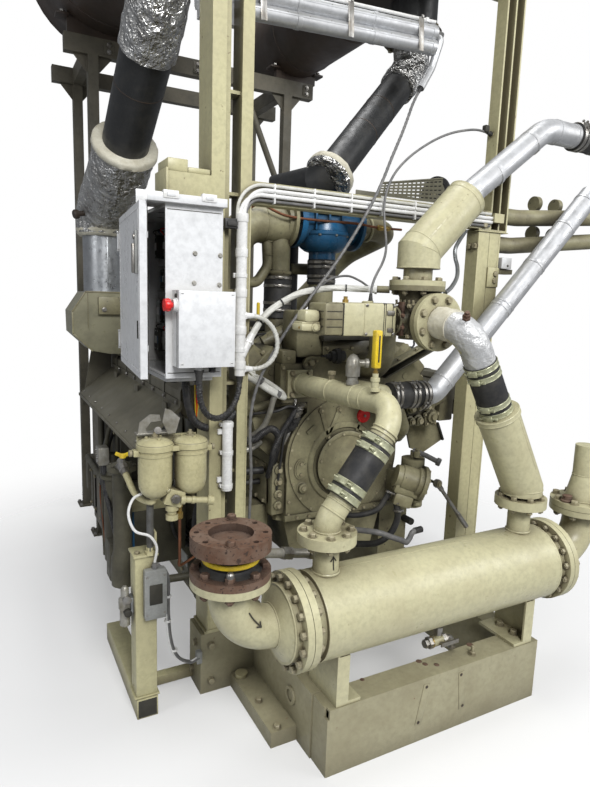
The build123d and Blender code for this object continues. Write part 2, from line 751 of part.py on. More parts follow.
bellows_low = elbow_flange_z + 2 * large_flange_thick
bellows_high = bellows_low + bellows_length
inlet_top = bellows_high + 2 * large_flange_thick
with BuildPart() as rusty_flanges:
    flange((-elbow_x, exchanger_y, bellows_low - large_flange_thick), (0, 0, 1), large_flange,
           large_flange_thick)
    flange((-elbow_x, exchanger_y, bellows_high), (0, 0, 1), large_flange, large_flange_thick)
    flange((-elbow_x, exchanger_y, bellows_high + large_flange_thick), (0, 0, 1), large_flange,
           large_flange_thick, bore=large_pipe, drilled=True)
rusty_flanges.part.label = "rusty_flanges"
export_step(rusty_flanges.part, "parts/rusty_flanges.step")

with BuildPart() as rubber_bellows:
    with BuildSketch(Plane.XZ.offset(-exchanger_y)) as profile:
        with BuildLine():
            Polyline((-elbow_x, bellows_low), (-elbow_x + 95, bellows_low), (-elbow_x + 88, bellows_low + 14),
                     (-elbow_x + 102, bellows_low + 25), (-elbow_x + 102, bellows_high - 25),
                     (-elbow_x + 88, bellows_high - 14), (-elbow_x + 95, bellows_high),
                     (-elbow_x, bellows_high), close=True)
        make_face()
    revolve(axis=Axis((-elbow_x, exchanger_y, 0), (0, 0, 1)))
rubber_bellows.part.label = "rubber_bellows"
export_step(rubber_bellows.part, "parts/rubber_bellows.step")

# Engine outlet pipe, hose and lower pipe down to the left nozzle
lower_corner = along(outlet_corner, outlet_slope, (left_nozzle_x - outlet_corner[0]) / outlet_slope[0])
with BuildPart() as engine_pipes:
    bar((outlet_start[0] - 60, outlet_start[0] + 60), (outlet_start[1] - 4, gear_face),
        (outlet_start[2] - 60, outlet_start[2] + 60))
    bent_pipe([outlet_start, outlet_corner, along(outlet_corner, outlet_slope, hose_start)], outlet_bend, small_pipe)
    bent_pipe([along(outlet_corner, outlet_slope, hose_end), lower_corner,
               (left_nozzle_x, outlet_corner[1], nozzle_seam)], 80, small_pipe)
    flange((left_nozzle_x, exchanger_y, nozzle_seam), (0, 0, 1), small_flange, small_flange_thick)
    bent_pipe([(lower_hose_x, bright_y, bright_low_z), (return_x, bright_y, bright_low_z),
               (return_x, gear_face, bright_low_z)], 90, small_pipe)
engine_pipes.part.label = "engine_pipes"
export_step(engine_pipes.part, "parts/engine_pipes.step")

with BuildPart() as rubber_hoses:
    rod(along(outlet_corner, outlet_slope, hose_start), along(outlet_corner, outlet_slope, hose_end),
        outlet_hose_d)
    rod(along(down_corner, down_slope, down_hose_start), along(down_corner, down_slope, down_hose_end), down_hose_d)
    rod((bright_hose_x, bright_bend[1], bright_bend[2]), (bright_end_x, bright_bend[1], bright_bend[2]), 116)
    rod((lower_hose_x, bright_y, bright_low_z), (lower_bright_x, bright_y, bright_low_z), 114)
rubber_hoses.part.label = "rubber_hoses"
export_step(rubber_hoses.part, "parts/rubber_hoses.step")

# Three-way valve with its actuator and pipes
valve_centre = (valve_x, valve_y, valve_z)
bundle_end = (-58.0, 438.0, 1646.0)
bundle_way = (0.8, -0.6, 0.0)
with BuildPart() as three_way_valve:
    rod(along(valve_centre, (0, 0, -1), valve_body_r), along(valve_centre, (0, 0, 1), valve_body_r), 1.7 * valve_body_r)
    rod(along(valve_centre, (-1, 0, 0), valve_body_r), along(valve_centre, (1, 0, 0), valve_body_r), 1.7 * valve_body_r)
    rod(along(bundle_end, bundle_way, 60), bundle_end, 28)
    flange((valve_x, valve_face + 2, valve_z), (0, 1, 0), valve_flange, valve_flange_thick)
    rod((valve_x, valve_face + 2, valve_z), valve_centre, valve_pipe)
    rod(valve_centre, (valve_x, valve_y, valve_top), valve_pipe)
    flange((valve_x, valve_y, valve_top - valve_flange_thick), (0, 0, 1), valve_flange, valve_flange_thick)
    bent_pipe([valve_centre, (valve_x, valve_y + 210, valve_z), (valve_x, valve_y + 210, valve_port_z),
               (valve_x, gear_face, valve_port_z)], 90, valve_pipe)
three_way_valve.part.label = "three_way_valve"
export_step(three_way_valve.part, "parts/three_way_valve.step")

with BuildPart() as valve_actuator:
    bar((valve_x - 370, valve_x - 145), (valve_y - 60, valve_y + 60), (valve_z - 52, valve_z + 58))
    rod((valve_x - 145, valve_y, valve_z), (valve_x - valve_body_r, valve_y, valve_z), 60)
    rod((-135, 352, valve_z + 58), (-135, 352, 1600), 22)
valve_actuator.part.label = "valve_actuator"
export_step(valve_actuator.part, "parts/valve_actuator.step")

with BuildPart() as upper_insulated_pipe:
    flange((valve_x, valve_y, valve_top), (0, 0, 1), valve_flange, valve_flange_thick)
    rod((valve_x, valve_y, valve_top + valve_flange_thick), (valve_x, valve_y, 1735), valve_pipe)
    mitred_pipe([(valve_x, valve_y, 1730), (valve_x, valve_y, insulated_corner_z), insulated_top], insulated_d)
upper_insulated_pipe.part.label = "upper_insulated_pipe"
export_step(upper_insulated_pipe.part, "parts/upper_insulated_pipe.step")

with BuildPart() as bright_pipes:
    rise = 1 / math.sqrt(2)
    bent_pipe([insulated_top, along(insulated_top, (rise, 0, rise), 35), bright_bend,
               (bright_hose_x, bright_bend[1], bright_bend[2])], [150, 150], bright_d)
    bent_pipe([(lower_bright_x, bright_y, bright_low_z), (lower_bright_bend, bright_y, bright_low_z),
               lower_bright_end], 80, bright_d)
bright_pipes.part.label = "bright_pipes"
export_step(bright_pipes.part, "parts/bright_pipes.step")

down_foot = along(down_corner, down_slope, (right_nozzle_x - down_corner[0]) / down_slope[0])
with BuildPart() as downpipe:
    flange((valve_x, valve_face, valve_z), (0, -1, 0), valve_flange, valve_flange_thick)
    bent_pipe([(valve_x, valve_face - valve_flange_thick / 2, valve_z), down_corner,
               along(down_corner, down_slope, down_hose_start)], down_bend, down_wrap_d)
    rod(along(down_corner, down_slope, down_hose_end), along(down_corner, down_slope, down_hose_end + 14),
        down_ring_d)
    mitred_pipe([along(down_corner, down_slope, down_hose_end + 14), down_foot, (right_nozzle_x, exchanger_y, 856)],
                down_cylinder_d)
    rod((right_nozzle_x, exchanger_y, nozzle_seam), (right_nozzle_x, exchanger_y, 858), small_pipe)
    flange((right_nozzle_x, exchanger_y, nozzle_seam), (0, 0, 1), small_flange, small_flange_thick)
downpipe.part.label = "downpipe"
export_step(downpipe.part, "parts/downpipe.step")

with BuildPart() as side_pipes:
    pipe_y = portal_front + right_depth / 2
    for start_x, pipe_z, pipe_rise in ((right_edge, 2012, 38), (lower_right, 1880, 53)):
        bent_pipe([(start_x, pipe_y, pipe_z), (start_x + 100, pipe_y, pipe_z), (1340, portal_front, pipe_z + pipe_rise)],
                  300, 76)
side_pipes.part.label = "side_pipes"
export_step(side_pipes.part, "parts/side_pipes.step")

# Exhaust
with BuildPart() as exhaust_riser_left:
    with BuildSketch(Plane.XZ.offset(-housing_front)) as outline:
        with BuildLine():
            Polyline((-815, 1253), (-908, 1271), (-1007, 1366), (-1009, 1487), (-938, 1595), (-700, 1595),
                     (-700, 1253), close=True)
        make_face()
    extrude(outline.sketch, amount=-housing_length)
    rod((left_riser_x, left_riser_y, 1590), (left_riser_x, left_riser_y, sleeve_high), 2 * sleeve_r)
    bar((-750, -705), (housing_front + 60, housing_front + housing_length - 40), (manifold_z + manifold_size / 2, 1254))
exhaust_riser_left.part.label = "exhaust_riser_left"
export_step(exhaust_riser_left.part, "parts/exhaust_riser_left.step")

silencer_z = silencer_rest + saddle_height


def clear_of_drum(x, radius):
    """Cuts a pipe end to the underside of a silencer."""
    drum_z = silencer_z + radius
    with BuildSketch(Plane.XZ.offset(-silencer_front)) as bite:
        with Locations((x, drum_z)):
            Circle(radius)
    extrude(bite.sketch, amount=-(left_silencer_end - silencer_front), mode=Mode.SUBTRACT)


left_rise = tuple(b - a for a, b in zip(left_ring, left_pipe_top))
with BuildPart() as exhaust_pipe_left:
    bent_pipe([left_ring, left_pipe_top, along(left_pipe_top, (0, 0, 1), 430)], 180, left_pipe_d)
    bent_pipe([(left_riser_x, left_riser_y, sleeve_high), (left_riser_x, left_riser_y, 2045),
               along(left_ring, left_rise, -0.2), left_ring], [150, 150], foil_d)
    clear_of_drum(left_silencer_x, left_silencer_r)
exhaust_pipe_left.part.label = "exhaust_pipe_left"
export_step(exhaust_pipe_left.part, "parts/exhaust_pipe_left.step")

with BuildPart() as exhaust_pipe_right:
    mitred_pipe([(-80, mixer_y + 225, plenum_high), (-80, mixer_y + 225, 2130), (-45, mixer_y - 25, 2130),
                 right_ring], right_pipe_d)
    bent_pipe([right_ring, right_pipe_top, (right_pipe_top[0], right_pipe_top[1], silencer_z + 100)], 110,
              right_pipe_d)
    rod((right_pipe_top[0], right_pipe_top[1], right_inlet_low),
        (right_pipe_top[0], right_pipe_top[1], silencer_z + 100), right_inlet_d)
    clear_of_drum(right_silencer_x, right_silencer_r)
exhaust_pipe_right.part.label = "exhaust_pipe_right"
export_step(exhaust_pipe_right.part, "parts/exhaust_pipe_right.step")

clad_y = portal_front + portal_depth + clad_d / 2
with BuildPart() as clad_pipes:
    for drop in (0, clad_d - 2):
        rod((left_post_x, clad_y, clad_left_z - drop), (clad_end_x, clad_y, clad_right_z - drop), clad_d)
    bar((left_post_x, left_post_x + left_post_width), (clad_y - clad_d / 2, clad_y),
        (clad_left_z - 2 * clad_d, clad_left_z + clad_d))
    bent_pipe([(clad_end_x - 10, clad_y, clad_right_z), (clad_end_x + 40, clad_y, clad_right_z - 8),
               along(long_grey_route[0], (42, 10, 63), 1.6), long_grey_route[0]], [28, 90], 34)
clad_pipes.part.label = "clad_pipes"
export_step(clad_pipes.part, "parts/clad_pipes.step")

# Cabinet with two hinges on its far side
cabinet_front = cabinet_back - cabinet_depth
cabinet_far = cabinet_near + cabinet_width
cabinet_high = cabinet_low + cabinet_height
hinge_x = cabinet_front - door_gap - door_thick
hinge_y = cabinet_far + hinge_offset
knuckle_lows = (cabinet_low + 60, cabinet_high - 60 - knuckle_height)
with BuildPart() as cabinet_body:
    bar((cabinet_front, cabinet_back), (cabinet_near, cabinet_far), (cabinet_low, cabinet_high))
    with Locations((cabinet_front - 1 + (cabinet_depth - sheet) / 2, (cabinet_near + cabinet_far) / 2,
                    (cabinet_low + cabinet_high) / 2)):
        Box(cabinet_depth - sheet + 2, cabinet_width - 2 * sheet, cabinet_height - 2 * sheet, mode=Mode.SUBTRACT)
    for low in knuckle_lows:
        for arm_low in (low - hinge_arm - 1, low + knuckle_height + 1):
            arm_z = (arm_low, arm_low + hinge_arm)
            bar((hinge_x - 8, cabinet_front + 20), (hinge_y - 5, hinge_y + 5), arm_z)
            bar((cabinet_front + 5, cabinet_front + 20), (cabinet_far - sheet, hinge_y + 5), arm_z)
        rod((hinge_x, hinge_y, low - hinge_arm), (hinge_x, hinge_y, low + knuckle_height + hinge_arm), hinge_pin)
cabinet_body.part.label = "cabinet_body"
export_step(cabinet_body.part, "parts/cabinet_body.step")

swing = math.radians(door_open)
door_way = (-math.sin(swing), -math.cos(swing), 0)
with BuildPart() as cabinet_door:
    with BuildSketch(Plane(origin=(hinge_x, hinge_y, cabinet_low), x_dir=door_way, z_dir=(0, 0, 1))) as leaf:
        with Locations((hinge_offset + cabinet_width / 2, door_thick / 2)):
            Rectangle(cabinet_width, door_thick)
    extrude(leaf.sketch, amount=cabinet_height)
    for low in knuckle_lows:
        with BuildSketch(Plane(origin=(hinge_x, hinge_y, low), x_dir=door_way, z_dir=(0, 0, 1))) as knuckle:
            Circle(8)
            with Locations((hinge_offset / 2 + 1, 0)):
                Rectangle(hinge_offset + 2, 8)
            Circle(hinge_pin / 2 + running_gap, mode=Mode.SUBTRACT)
        extrude(knuckle.sketch, amount=knuckle_height)
cabinet_door.part.label = "cabinet_door"
export_step(cabinet_door.part, "parts/cabinet_door.step")

with BuildPart() as junction_box:
    bar(box_x, (box_near, cabinet_near), box_z)
    rod((box_x[0], stop_y, stop_z), (box_x[0] - stop_collar, stop_y, stop_z), 32, stop_stem + 2 * running_gap)
    rod((-808, 380, box_z[0]), box_loom_route[0], 26)
junction_box.part.label = "junction_box"
export_step(junction_box.part, "parts/junction_box.step")

with BuildPart() as stop_button:
    head_back = box_x[0] - stop_collar - 8
    rod((head_back, stop_y, stop_z), (head_back - 20, stop_y, stop_z), 2 * stop_head_r)
    rod((box_x[0] - 8, stop_y, stop_z), (head_back, stop_y, stop_z), stop_stem)
stop_button.part.label = "stop_button"
export_step(stop_button.part, "parts/stop_button.step")

with BuildPart() as conduit:
    conduit_y = portal_front - conduit_d / 2
    rod((conduit_x, conduit_y, conduit_low), (conduit_x, conduit_y, conduit_high), conduit_d)
    rod((-645, conduit_y, 860), (-645, conduit_y, 1130), conduit_d)
    for clip_low in (890, 1080):
        bar((wide_end - 20, -645), (portal_front - 10, portal_front), (clip_low, clip_low + 20))
    gland(white_loop_route[0], white_loop_route[1], 18, 24)
    gland(white_loop_route[-1], white_loop_route[-2], 18, 24)
    gland(white_bundle_route[0], white_bundle_route[1], 68, 30)
    for offset in (-9, 9):
        run_z = cross_top - cross_height / 2 + offset
        bent_pipe([(conduit_x + offset, conduit_y + 4, conduit_high), (conduit_x + offset, conduit_y + 4, run_z),
                   (right_upper_x, portal_front - 8.5, run_z)], 90, 16)
    bar((30, 350), (portal_front + 10, portal_front + 190), (cross_top, cross_top + 8))
conduit.part.label = "conduit"
export_step(conduit.part, "parts/conduit.step")

# Filter stand with its two bowls
with BuildPart() as filter_stand:
    half = stand_tube / 2
    bar((stand_x - half, stand_x + half), (stand_front, stand_front + stand_length), (0, stand_tube))
    bar((stand_x - half, stand_x + half), (stand_front + 10, stand_front + 10 + stand_tube), (stand_tube, stand_top))
    bar((stand_x + half, -skid_half - outrigger_reach), (640, 680), (20, 60))
    rod((stand_x, stand_front + 50, stand_top), (stand_x, stand_front + 50, bowl_high - 40), 26)
    bar((stand_x - 20, stand_x + bowl_pitch + 60), (stand_front + 40, stand_front + 60), (bowl_high - 60, bowl_high))
    for index in range(2):
        x = -934 + index * bowl_pitch
        rod((x, bowl_y, bowl_low + 20), (x, bowl_y, bowl_high - 12), 2 * bowl_r - 6)
        cone((x, bowl_y, bowl_low), (x, bowl_y, bowl_low + 20), 80, 2 * bowl_r - 6)
        rod((x, bowl_y, bowl_high - 12), (x, bowl_y, bowl_high), 2 * bowl_r)
filter_stand.part.label = "filter_stand"
export_step(filter_stand.part, "parts/filter_stand.step")

with BuildPart() as pump_lever:
    hub_front = pump_y - pump_pin_length + 4
    with BuildSketch(Plane.XZ.offset(-(hub_front + lever_thick))) as hub:
        with Locations((pin_x, pin_z)):
            Circle(lever_hub / 2)
            Circle(pump_pin / 2 + running_gap, mode=Mode.SUBTRACT)
    extrude(hub.sketch, amount=lever_thick)
    arm = (math.cos(math.radians(lever_droop)), 0, -math.sin(math.radians(lever_droop)))
    middle_y = hub_front + lever_thick / 2
    rod(along((pin_x, middle_y, pin_z), arm, lever_hub / 2 - 2), along((pin_x, middle_y, pin_z), arm, lever_reach), 18)
pump_lever.part.label = "pump_lever"
export_step(pump_lever.part, "parts/pump_lever.step")

with BuildPart() as tap_lever:
    lever_face = exchanger_y - tap_body / 2
    rod((tap_x, lever_face - running_gap, tap_z), (tap_x, lever_face - 12, tap_z), 14)
    bar((tap_x - 9, tap_x + 76), (lever_face - 17, lever_face - 11), (tap_z - 8, tap_z + 8))
tap_lever.part.label = "tap_lever"
export_step(tap_lever.part, "parts/tap_lever.step")

# Free cables, each in a node of its own
with BuildPart() as long_grey_cord:
    cable(long_grey_route, 12.0)
long_grey_cord.part.label = "long_grey_cord"
export_step(long_grey_cord.part, "parts/long_grey_cord.step")

with BuildPart() as actuator_cord:
    cable(actuator_route, 10.0)
actuator_cord.part.label = "actuator_cord"
export_step(actuator_cord.part, "parts/actuator_cord.step")

with BuildPart() as white_bundle_cord:
    cable(white_bundle_route, 24.0)
white_bundle_cord.part.label = "white_bundle_cord"
export_step(white_bundle_cord.part, "parts/white_bundle_cord.step")

with BuildPart() as white_loop_cord:
    cable(white_loop_route, 17.0)
white_loop_cord.part.label = "white_loop_cord"
export_step(white_loop_cord.part, "parts/white_loop_cord.step")

with BuildPart() as box_loom_cord:
    cable(box_loom_route, 20.0)
box_loom_cord.part.label = "box_loom_cord"
export_step(box_loom_cord.part, "parts/box_loom_cord.step")
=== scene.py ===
import math
import random

import bmesh
import bpy
from mathutils import Matrix, Vector, noise


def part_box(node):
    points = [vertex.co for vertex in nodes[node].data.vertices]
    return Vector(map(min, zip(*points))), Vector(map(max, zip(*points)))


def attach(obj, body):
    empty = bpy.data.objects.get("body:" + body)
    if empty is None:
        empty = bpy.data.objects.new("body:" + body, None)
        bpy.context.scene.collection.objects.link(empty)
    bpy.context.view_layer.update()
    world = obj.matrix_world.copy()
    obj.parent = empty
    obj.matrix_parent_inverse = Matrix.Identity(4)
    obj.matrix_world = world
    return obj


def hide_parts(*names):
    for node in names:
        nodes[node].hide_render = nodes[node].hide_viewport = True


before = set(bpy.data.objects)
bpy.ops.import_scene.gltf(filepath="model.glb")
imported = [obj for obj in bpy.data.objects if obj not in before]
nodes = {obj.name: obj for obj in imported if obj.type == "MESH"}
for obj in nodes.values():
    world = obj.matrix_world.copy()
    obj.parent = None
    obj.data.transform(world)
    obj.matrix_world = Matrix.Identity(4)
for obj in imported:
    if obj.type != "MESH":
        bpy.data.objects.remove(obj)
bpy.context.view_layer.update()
MM = 0.001


def corners(node):
    """The lowest and the highest corner of a node's box, in mm."""
    return [[round(c / MM, 1) for c in corner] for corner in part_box(node)]


def middle(node):
    """The centre of a node's box, in mm."""
    low, high = corners(node)
    return [(a + b) / 2 for a, b in zip(low, high)]


# Places in mm that several pieces share, from the frame where a node's box gives them
INLET_X, SHELL_Y = middle("rusty_flanges")[:2]
OUTLET_X = -INLET_X
SHELL_Z = 552
NOZZLES = (-472, 437)
BEAM_TOP = corners("front_crossbeam")[1][2]
POST_FRONT = corners("left_post")[0][1]
CABINET_FRONT = corners("cabinet_body")[0][1]
STOP_Y, STOP_Z = middle("stop_button")[1:]
CONDUIT_X, CONDUIT_Y = -600, 520
BOWL_Y = 480
VALVE_X, VALVE_Y, VALVE_Z = 84, 350, 1527
MITRE = (VALVE_X, VALVE_Y, 1800)
OUT_CORNER, OUT_WAY = (-195, SHELL_Y, 1246), (-0.6, 0, -0.8)
DOWN_CORNER, DOWN_WAY = (90, SHELL_Y, 1505), (0.488, 0, -0.8728)
LEFT_LOW, LEFT_HIGH, LEFT_RISE = (-803, 1500, 2290), (-787, 940, 2723), Vector((16, -560, 433)).normalized()
RIGHT_LOW, RIGHT_HIGH, RIGHT_RISE = (5, 930, 2165), (600, 1150, 2794), Vector((595, 220, 629)).normalized()
RISER_X, RISER_Y = -805, 2080
SHAFT_Z = 860
ALTERNATOR_END = corners("alternator")[1][1]
MIXER_X, MIXER_Y = middle("mixer")[:2]
MIXER_Z = 1948
PUMP, PUMP_PIVOT = (222, 590, 800), (410, 509, 760)
CYLINDERS = [885 + 250 * k for k in range(6)]

scene = bpy.context.scene
scene.view_settings.view_transform = "Standard"

# Camera at the photograph's viewpoint, from the vanishing lines of the skid and the posts
CAMERA_PLACE = Vector((-1.471, -1.563, 1.610))
CAMERA_ANGLES = (28.0885, 9.2734, 1.8819)
FOCAL_LENGTH, SENSOR = 27.379, 36.0


def make_camera():
    """The camera from its yaw, pitch and roll in degrees."""
    yaw, pitch, roll = (math.radians(a) for a in CAMERA_ANGLES)
    right = Vector((math.cos(yaw), -math.sin(yaw), 0))
    ahead = Vector((math.sin(yaw) * math.cos(pitch), math.cos(yaw) * math.cos(pitch), -math.sin(pitch)))
    above = right.cross(ahead)
    cam_x = right * math.cos(roll) + above * math.sin(roll)
    cam_y = above * math.cos(roll) - right * math.sin(roll)
    lens = bpy.data.cameras.new("camera")
    lens.lens = FOCAL_LENGTH
    lens.sensor_width = SENSOR
    lens.sensor_fit = "AUTO"
    lens.clip_end = 60.0
    camera = bpy.data.objects.new("camera", lens)
    turn = Matrix((cam_x, cam_y, -ahead)).transposed()
    camera.matrix_world = Matrix.Translation(CAMERA_PLACE) @ turn.to_4x4()
    scene.collection.objects.link(camera)
    scene.camera = camera


make_camera()


# Materials
NOISE_ROUGHNESS, SHADE = 0.62, 0.82


def surface(name, base, rough=0.5, metal=0.0, dirt=None, dirt_share=0.35, spots=None, spot_share=0.3,
            scale=6.0, bump=0.15, bump_scale=120.0, shade_and_grime=None, streak=False, relief=0.002, below=None):
    """Base colour with soft dirt, sharp spots, painted shade with grime in corners and a fine bump.

    below holds a height and the colour of the paint that covers the surface under it.
    """
    m = bpy.data.materials.new(name)
    m.use_nodes = True
    t = m.node_tree
    shader = t.nodes["Principled BSDF"]
    shader.inputs["Metallic"].default_value = metal
    coord = t.nodes.new("ShaderNodeTexCoord")

    def noise_node(size, detail, stretch=None):
        n = t.nodes.new("ShaderNodeTexNoise")
        n.inputs["Scale"].default_value = size
        n.inputs["Detail"].default_value = detail
        n.inputs["Roughness"].default_value = NOISE_ROUGHNESS
        if stretch:
            mapping = t.nodes.new("ShaderNodeMapping")
            mapping.inputs["Scale"].default_value = stretch
            t.links.new(coord.outputs["Object"], mapping.inputs["Vector"])
            t.links.new(mapping.outputs["Vector"], n.inputs["Vector"])
        else:
            t.links.new(coord.outputs["Object"], n.inputs["Vector"])
        return n

    def ramp(source, low, high):
        r = t.nodes.new("ShaderNodeMapRange")
        r.inputs["From Min"].default_value = low
        r.inputs["From Max"].default_value = high
        t.links.new(source, r.inputs["Value"])
        return r.outputs["Result"]

    def mix(under, colour, factor):
        n = t.nodes.new("ShaderNodeMix")
        n.data_type = "RGBA"
        t.links.new(factor, n.inputs["Factor"])
        if isinstance(under, tuple):
            n.inputs["A"].default_value = under
        else:
            t.links.new(under, n.inputs["A"])
        n.inputs["B"].default_value = (*colour, 1)
        return n.outputs["Result"]

    last = (*base, 1)
    fine = noise_node(scale * 9, 4)
    shade = tuple(c * SHADE for c in base)
    last = mix(last, shade, ramp(fine.outputs["Fac"], 0.42, 0.72))
    if dirt:
        wide = noise_node(scale, 5, (1, 1, 0.35) if streak else None)
        last = mix(last, dirt, ramp(wide.outputs["Fac"], 0.72 - dirt_share, 1.02 - dirt_share * 0.6))
    if below:
        level, paint = below
        here = t.nodes.new("ShaderNodeNewGeometry")
        split = t.nodes.new("ShaderNodeSeparateXYZ")
        t.links.new(here.outputs["Position"], split.inputs[0])
        under = ramp(split.outputs["Z"], level + 0.001, level - 0.001)
        last = mix(last, paint, under)
        patch = t.nodes.new("ShaderNodeMath")
        patch.operation = "MULTIPLY"
        t.links.new(under, patch.inputs[0])
        t.links.new(ramp(noise_node(scale * 0.4, 5).outputs["Fac"], 0.45, 0.75), patch.inputs[1])
        last = mix(last, tuple(c * 0.6 for c in paint), patch.outputs[0])
        bare = t.nodes.new("ShaderNodeMath")
        bare.operation = "MULTIPLY_ADD"
        t.links.new(under, bare.inputs[0])
        bare.inputs[1].default_value = -metal
        bare.inputs[2].default_value = metal
        t.links.new(bare.outputs[0], shader.inputs["Metallic"])
    # painted shade: ambient occlusion darkens corners, creases and recesses towards this colour, standing
    # for the shade there as well as grime
    if shade_and_grime:
        ao = t.nodes.new("ShaderNodeAmbientOcclusion")
        ao.samples = 4
        ao.inputs["Distance"].default_value = 0.16
        corner_shade = ramp(ao.outputs["AO"], 0.85, 0.25)
        last = mix(last, shade_and_grime, corner_shade)
    if spots:
        sharp = noise_node(scale * 5.3, 7)
        last = mix(last, spots, ramp(sharp.outputs["Fac"], 0.70 - spot_share * 0.2, 0.74 - spot_share * 0.2))
    t.links.new(last, shader.inputs["Base Color"])
    gloss = noise_node(scale * 2.2, 4)
    wave = t.nodes.new("ShaderNodeMapRange")
    wave.inputs["To Min"].default_value = max(0.03, rough - 0.12)
    wave.inputs["To Max"].default_value = min(1.0, rough + 0.14)
    wave.inputs["From Min"].default_value = 0.3
    wave.inputs["From Max"].default_value = 0.7
    t.links.new(gloss.outputs["Fac"], wave.inputs["Value"])
    t.links.new(wave.outputs["Result"], shader.inputs["Roughness"])
    if bump:
        grain = noise_node(bump_scale, 3)
        b = t.nodes.new("ShaderNodeBump")
        b.inputs["Strength"].default_value = bump
        b.inputs["Distance"].default_value = relief
        t.links.new(grain.outputs["Fac"], b.inputs["Height"])
        t.links.new(b.outputs["Normal"], shader.inputs["Normal"])
    return m


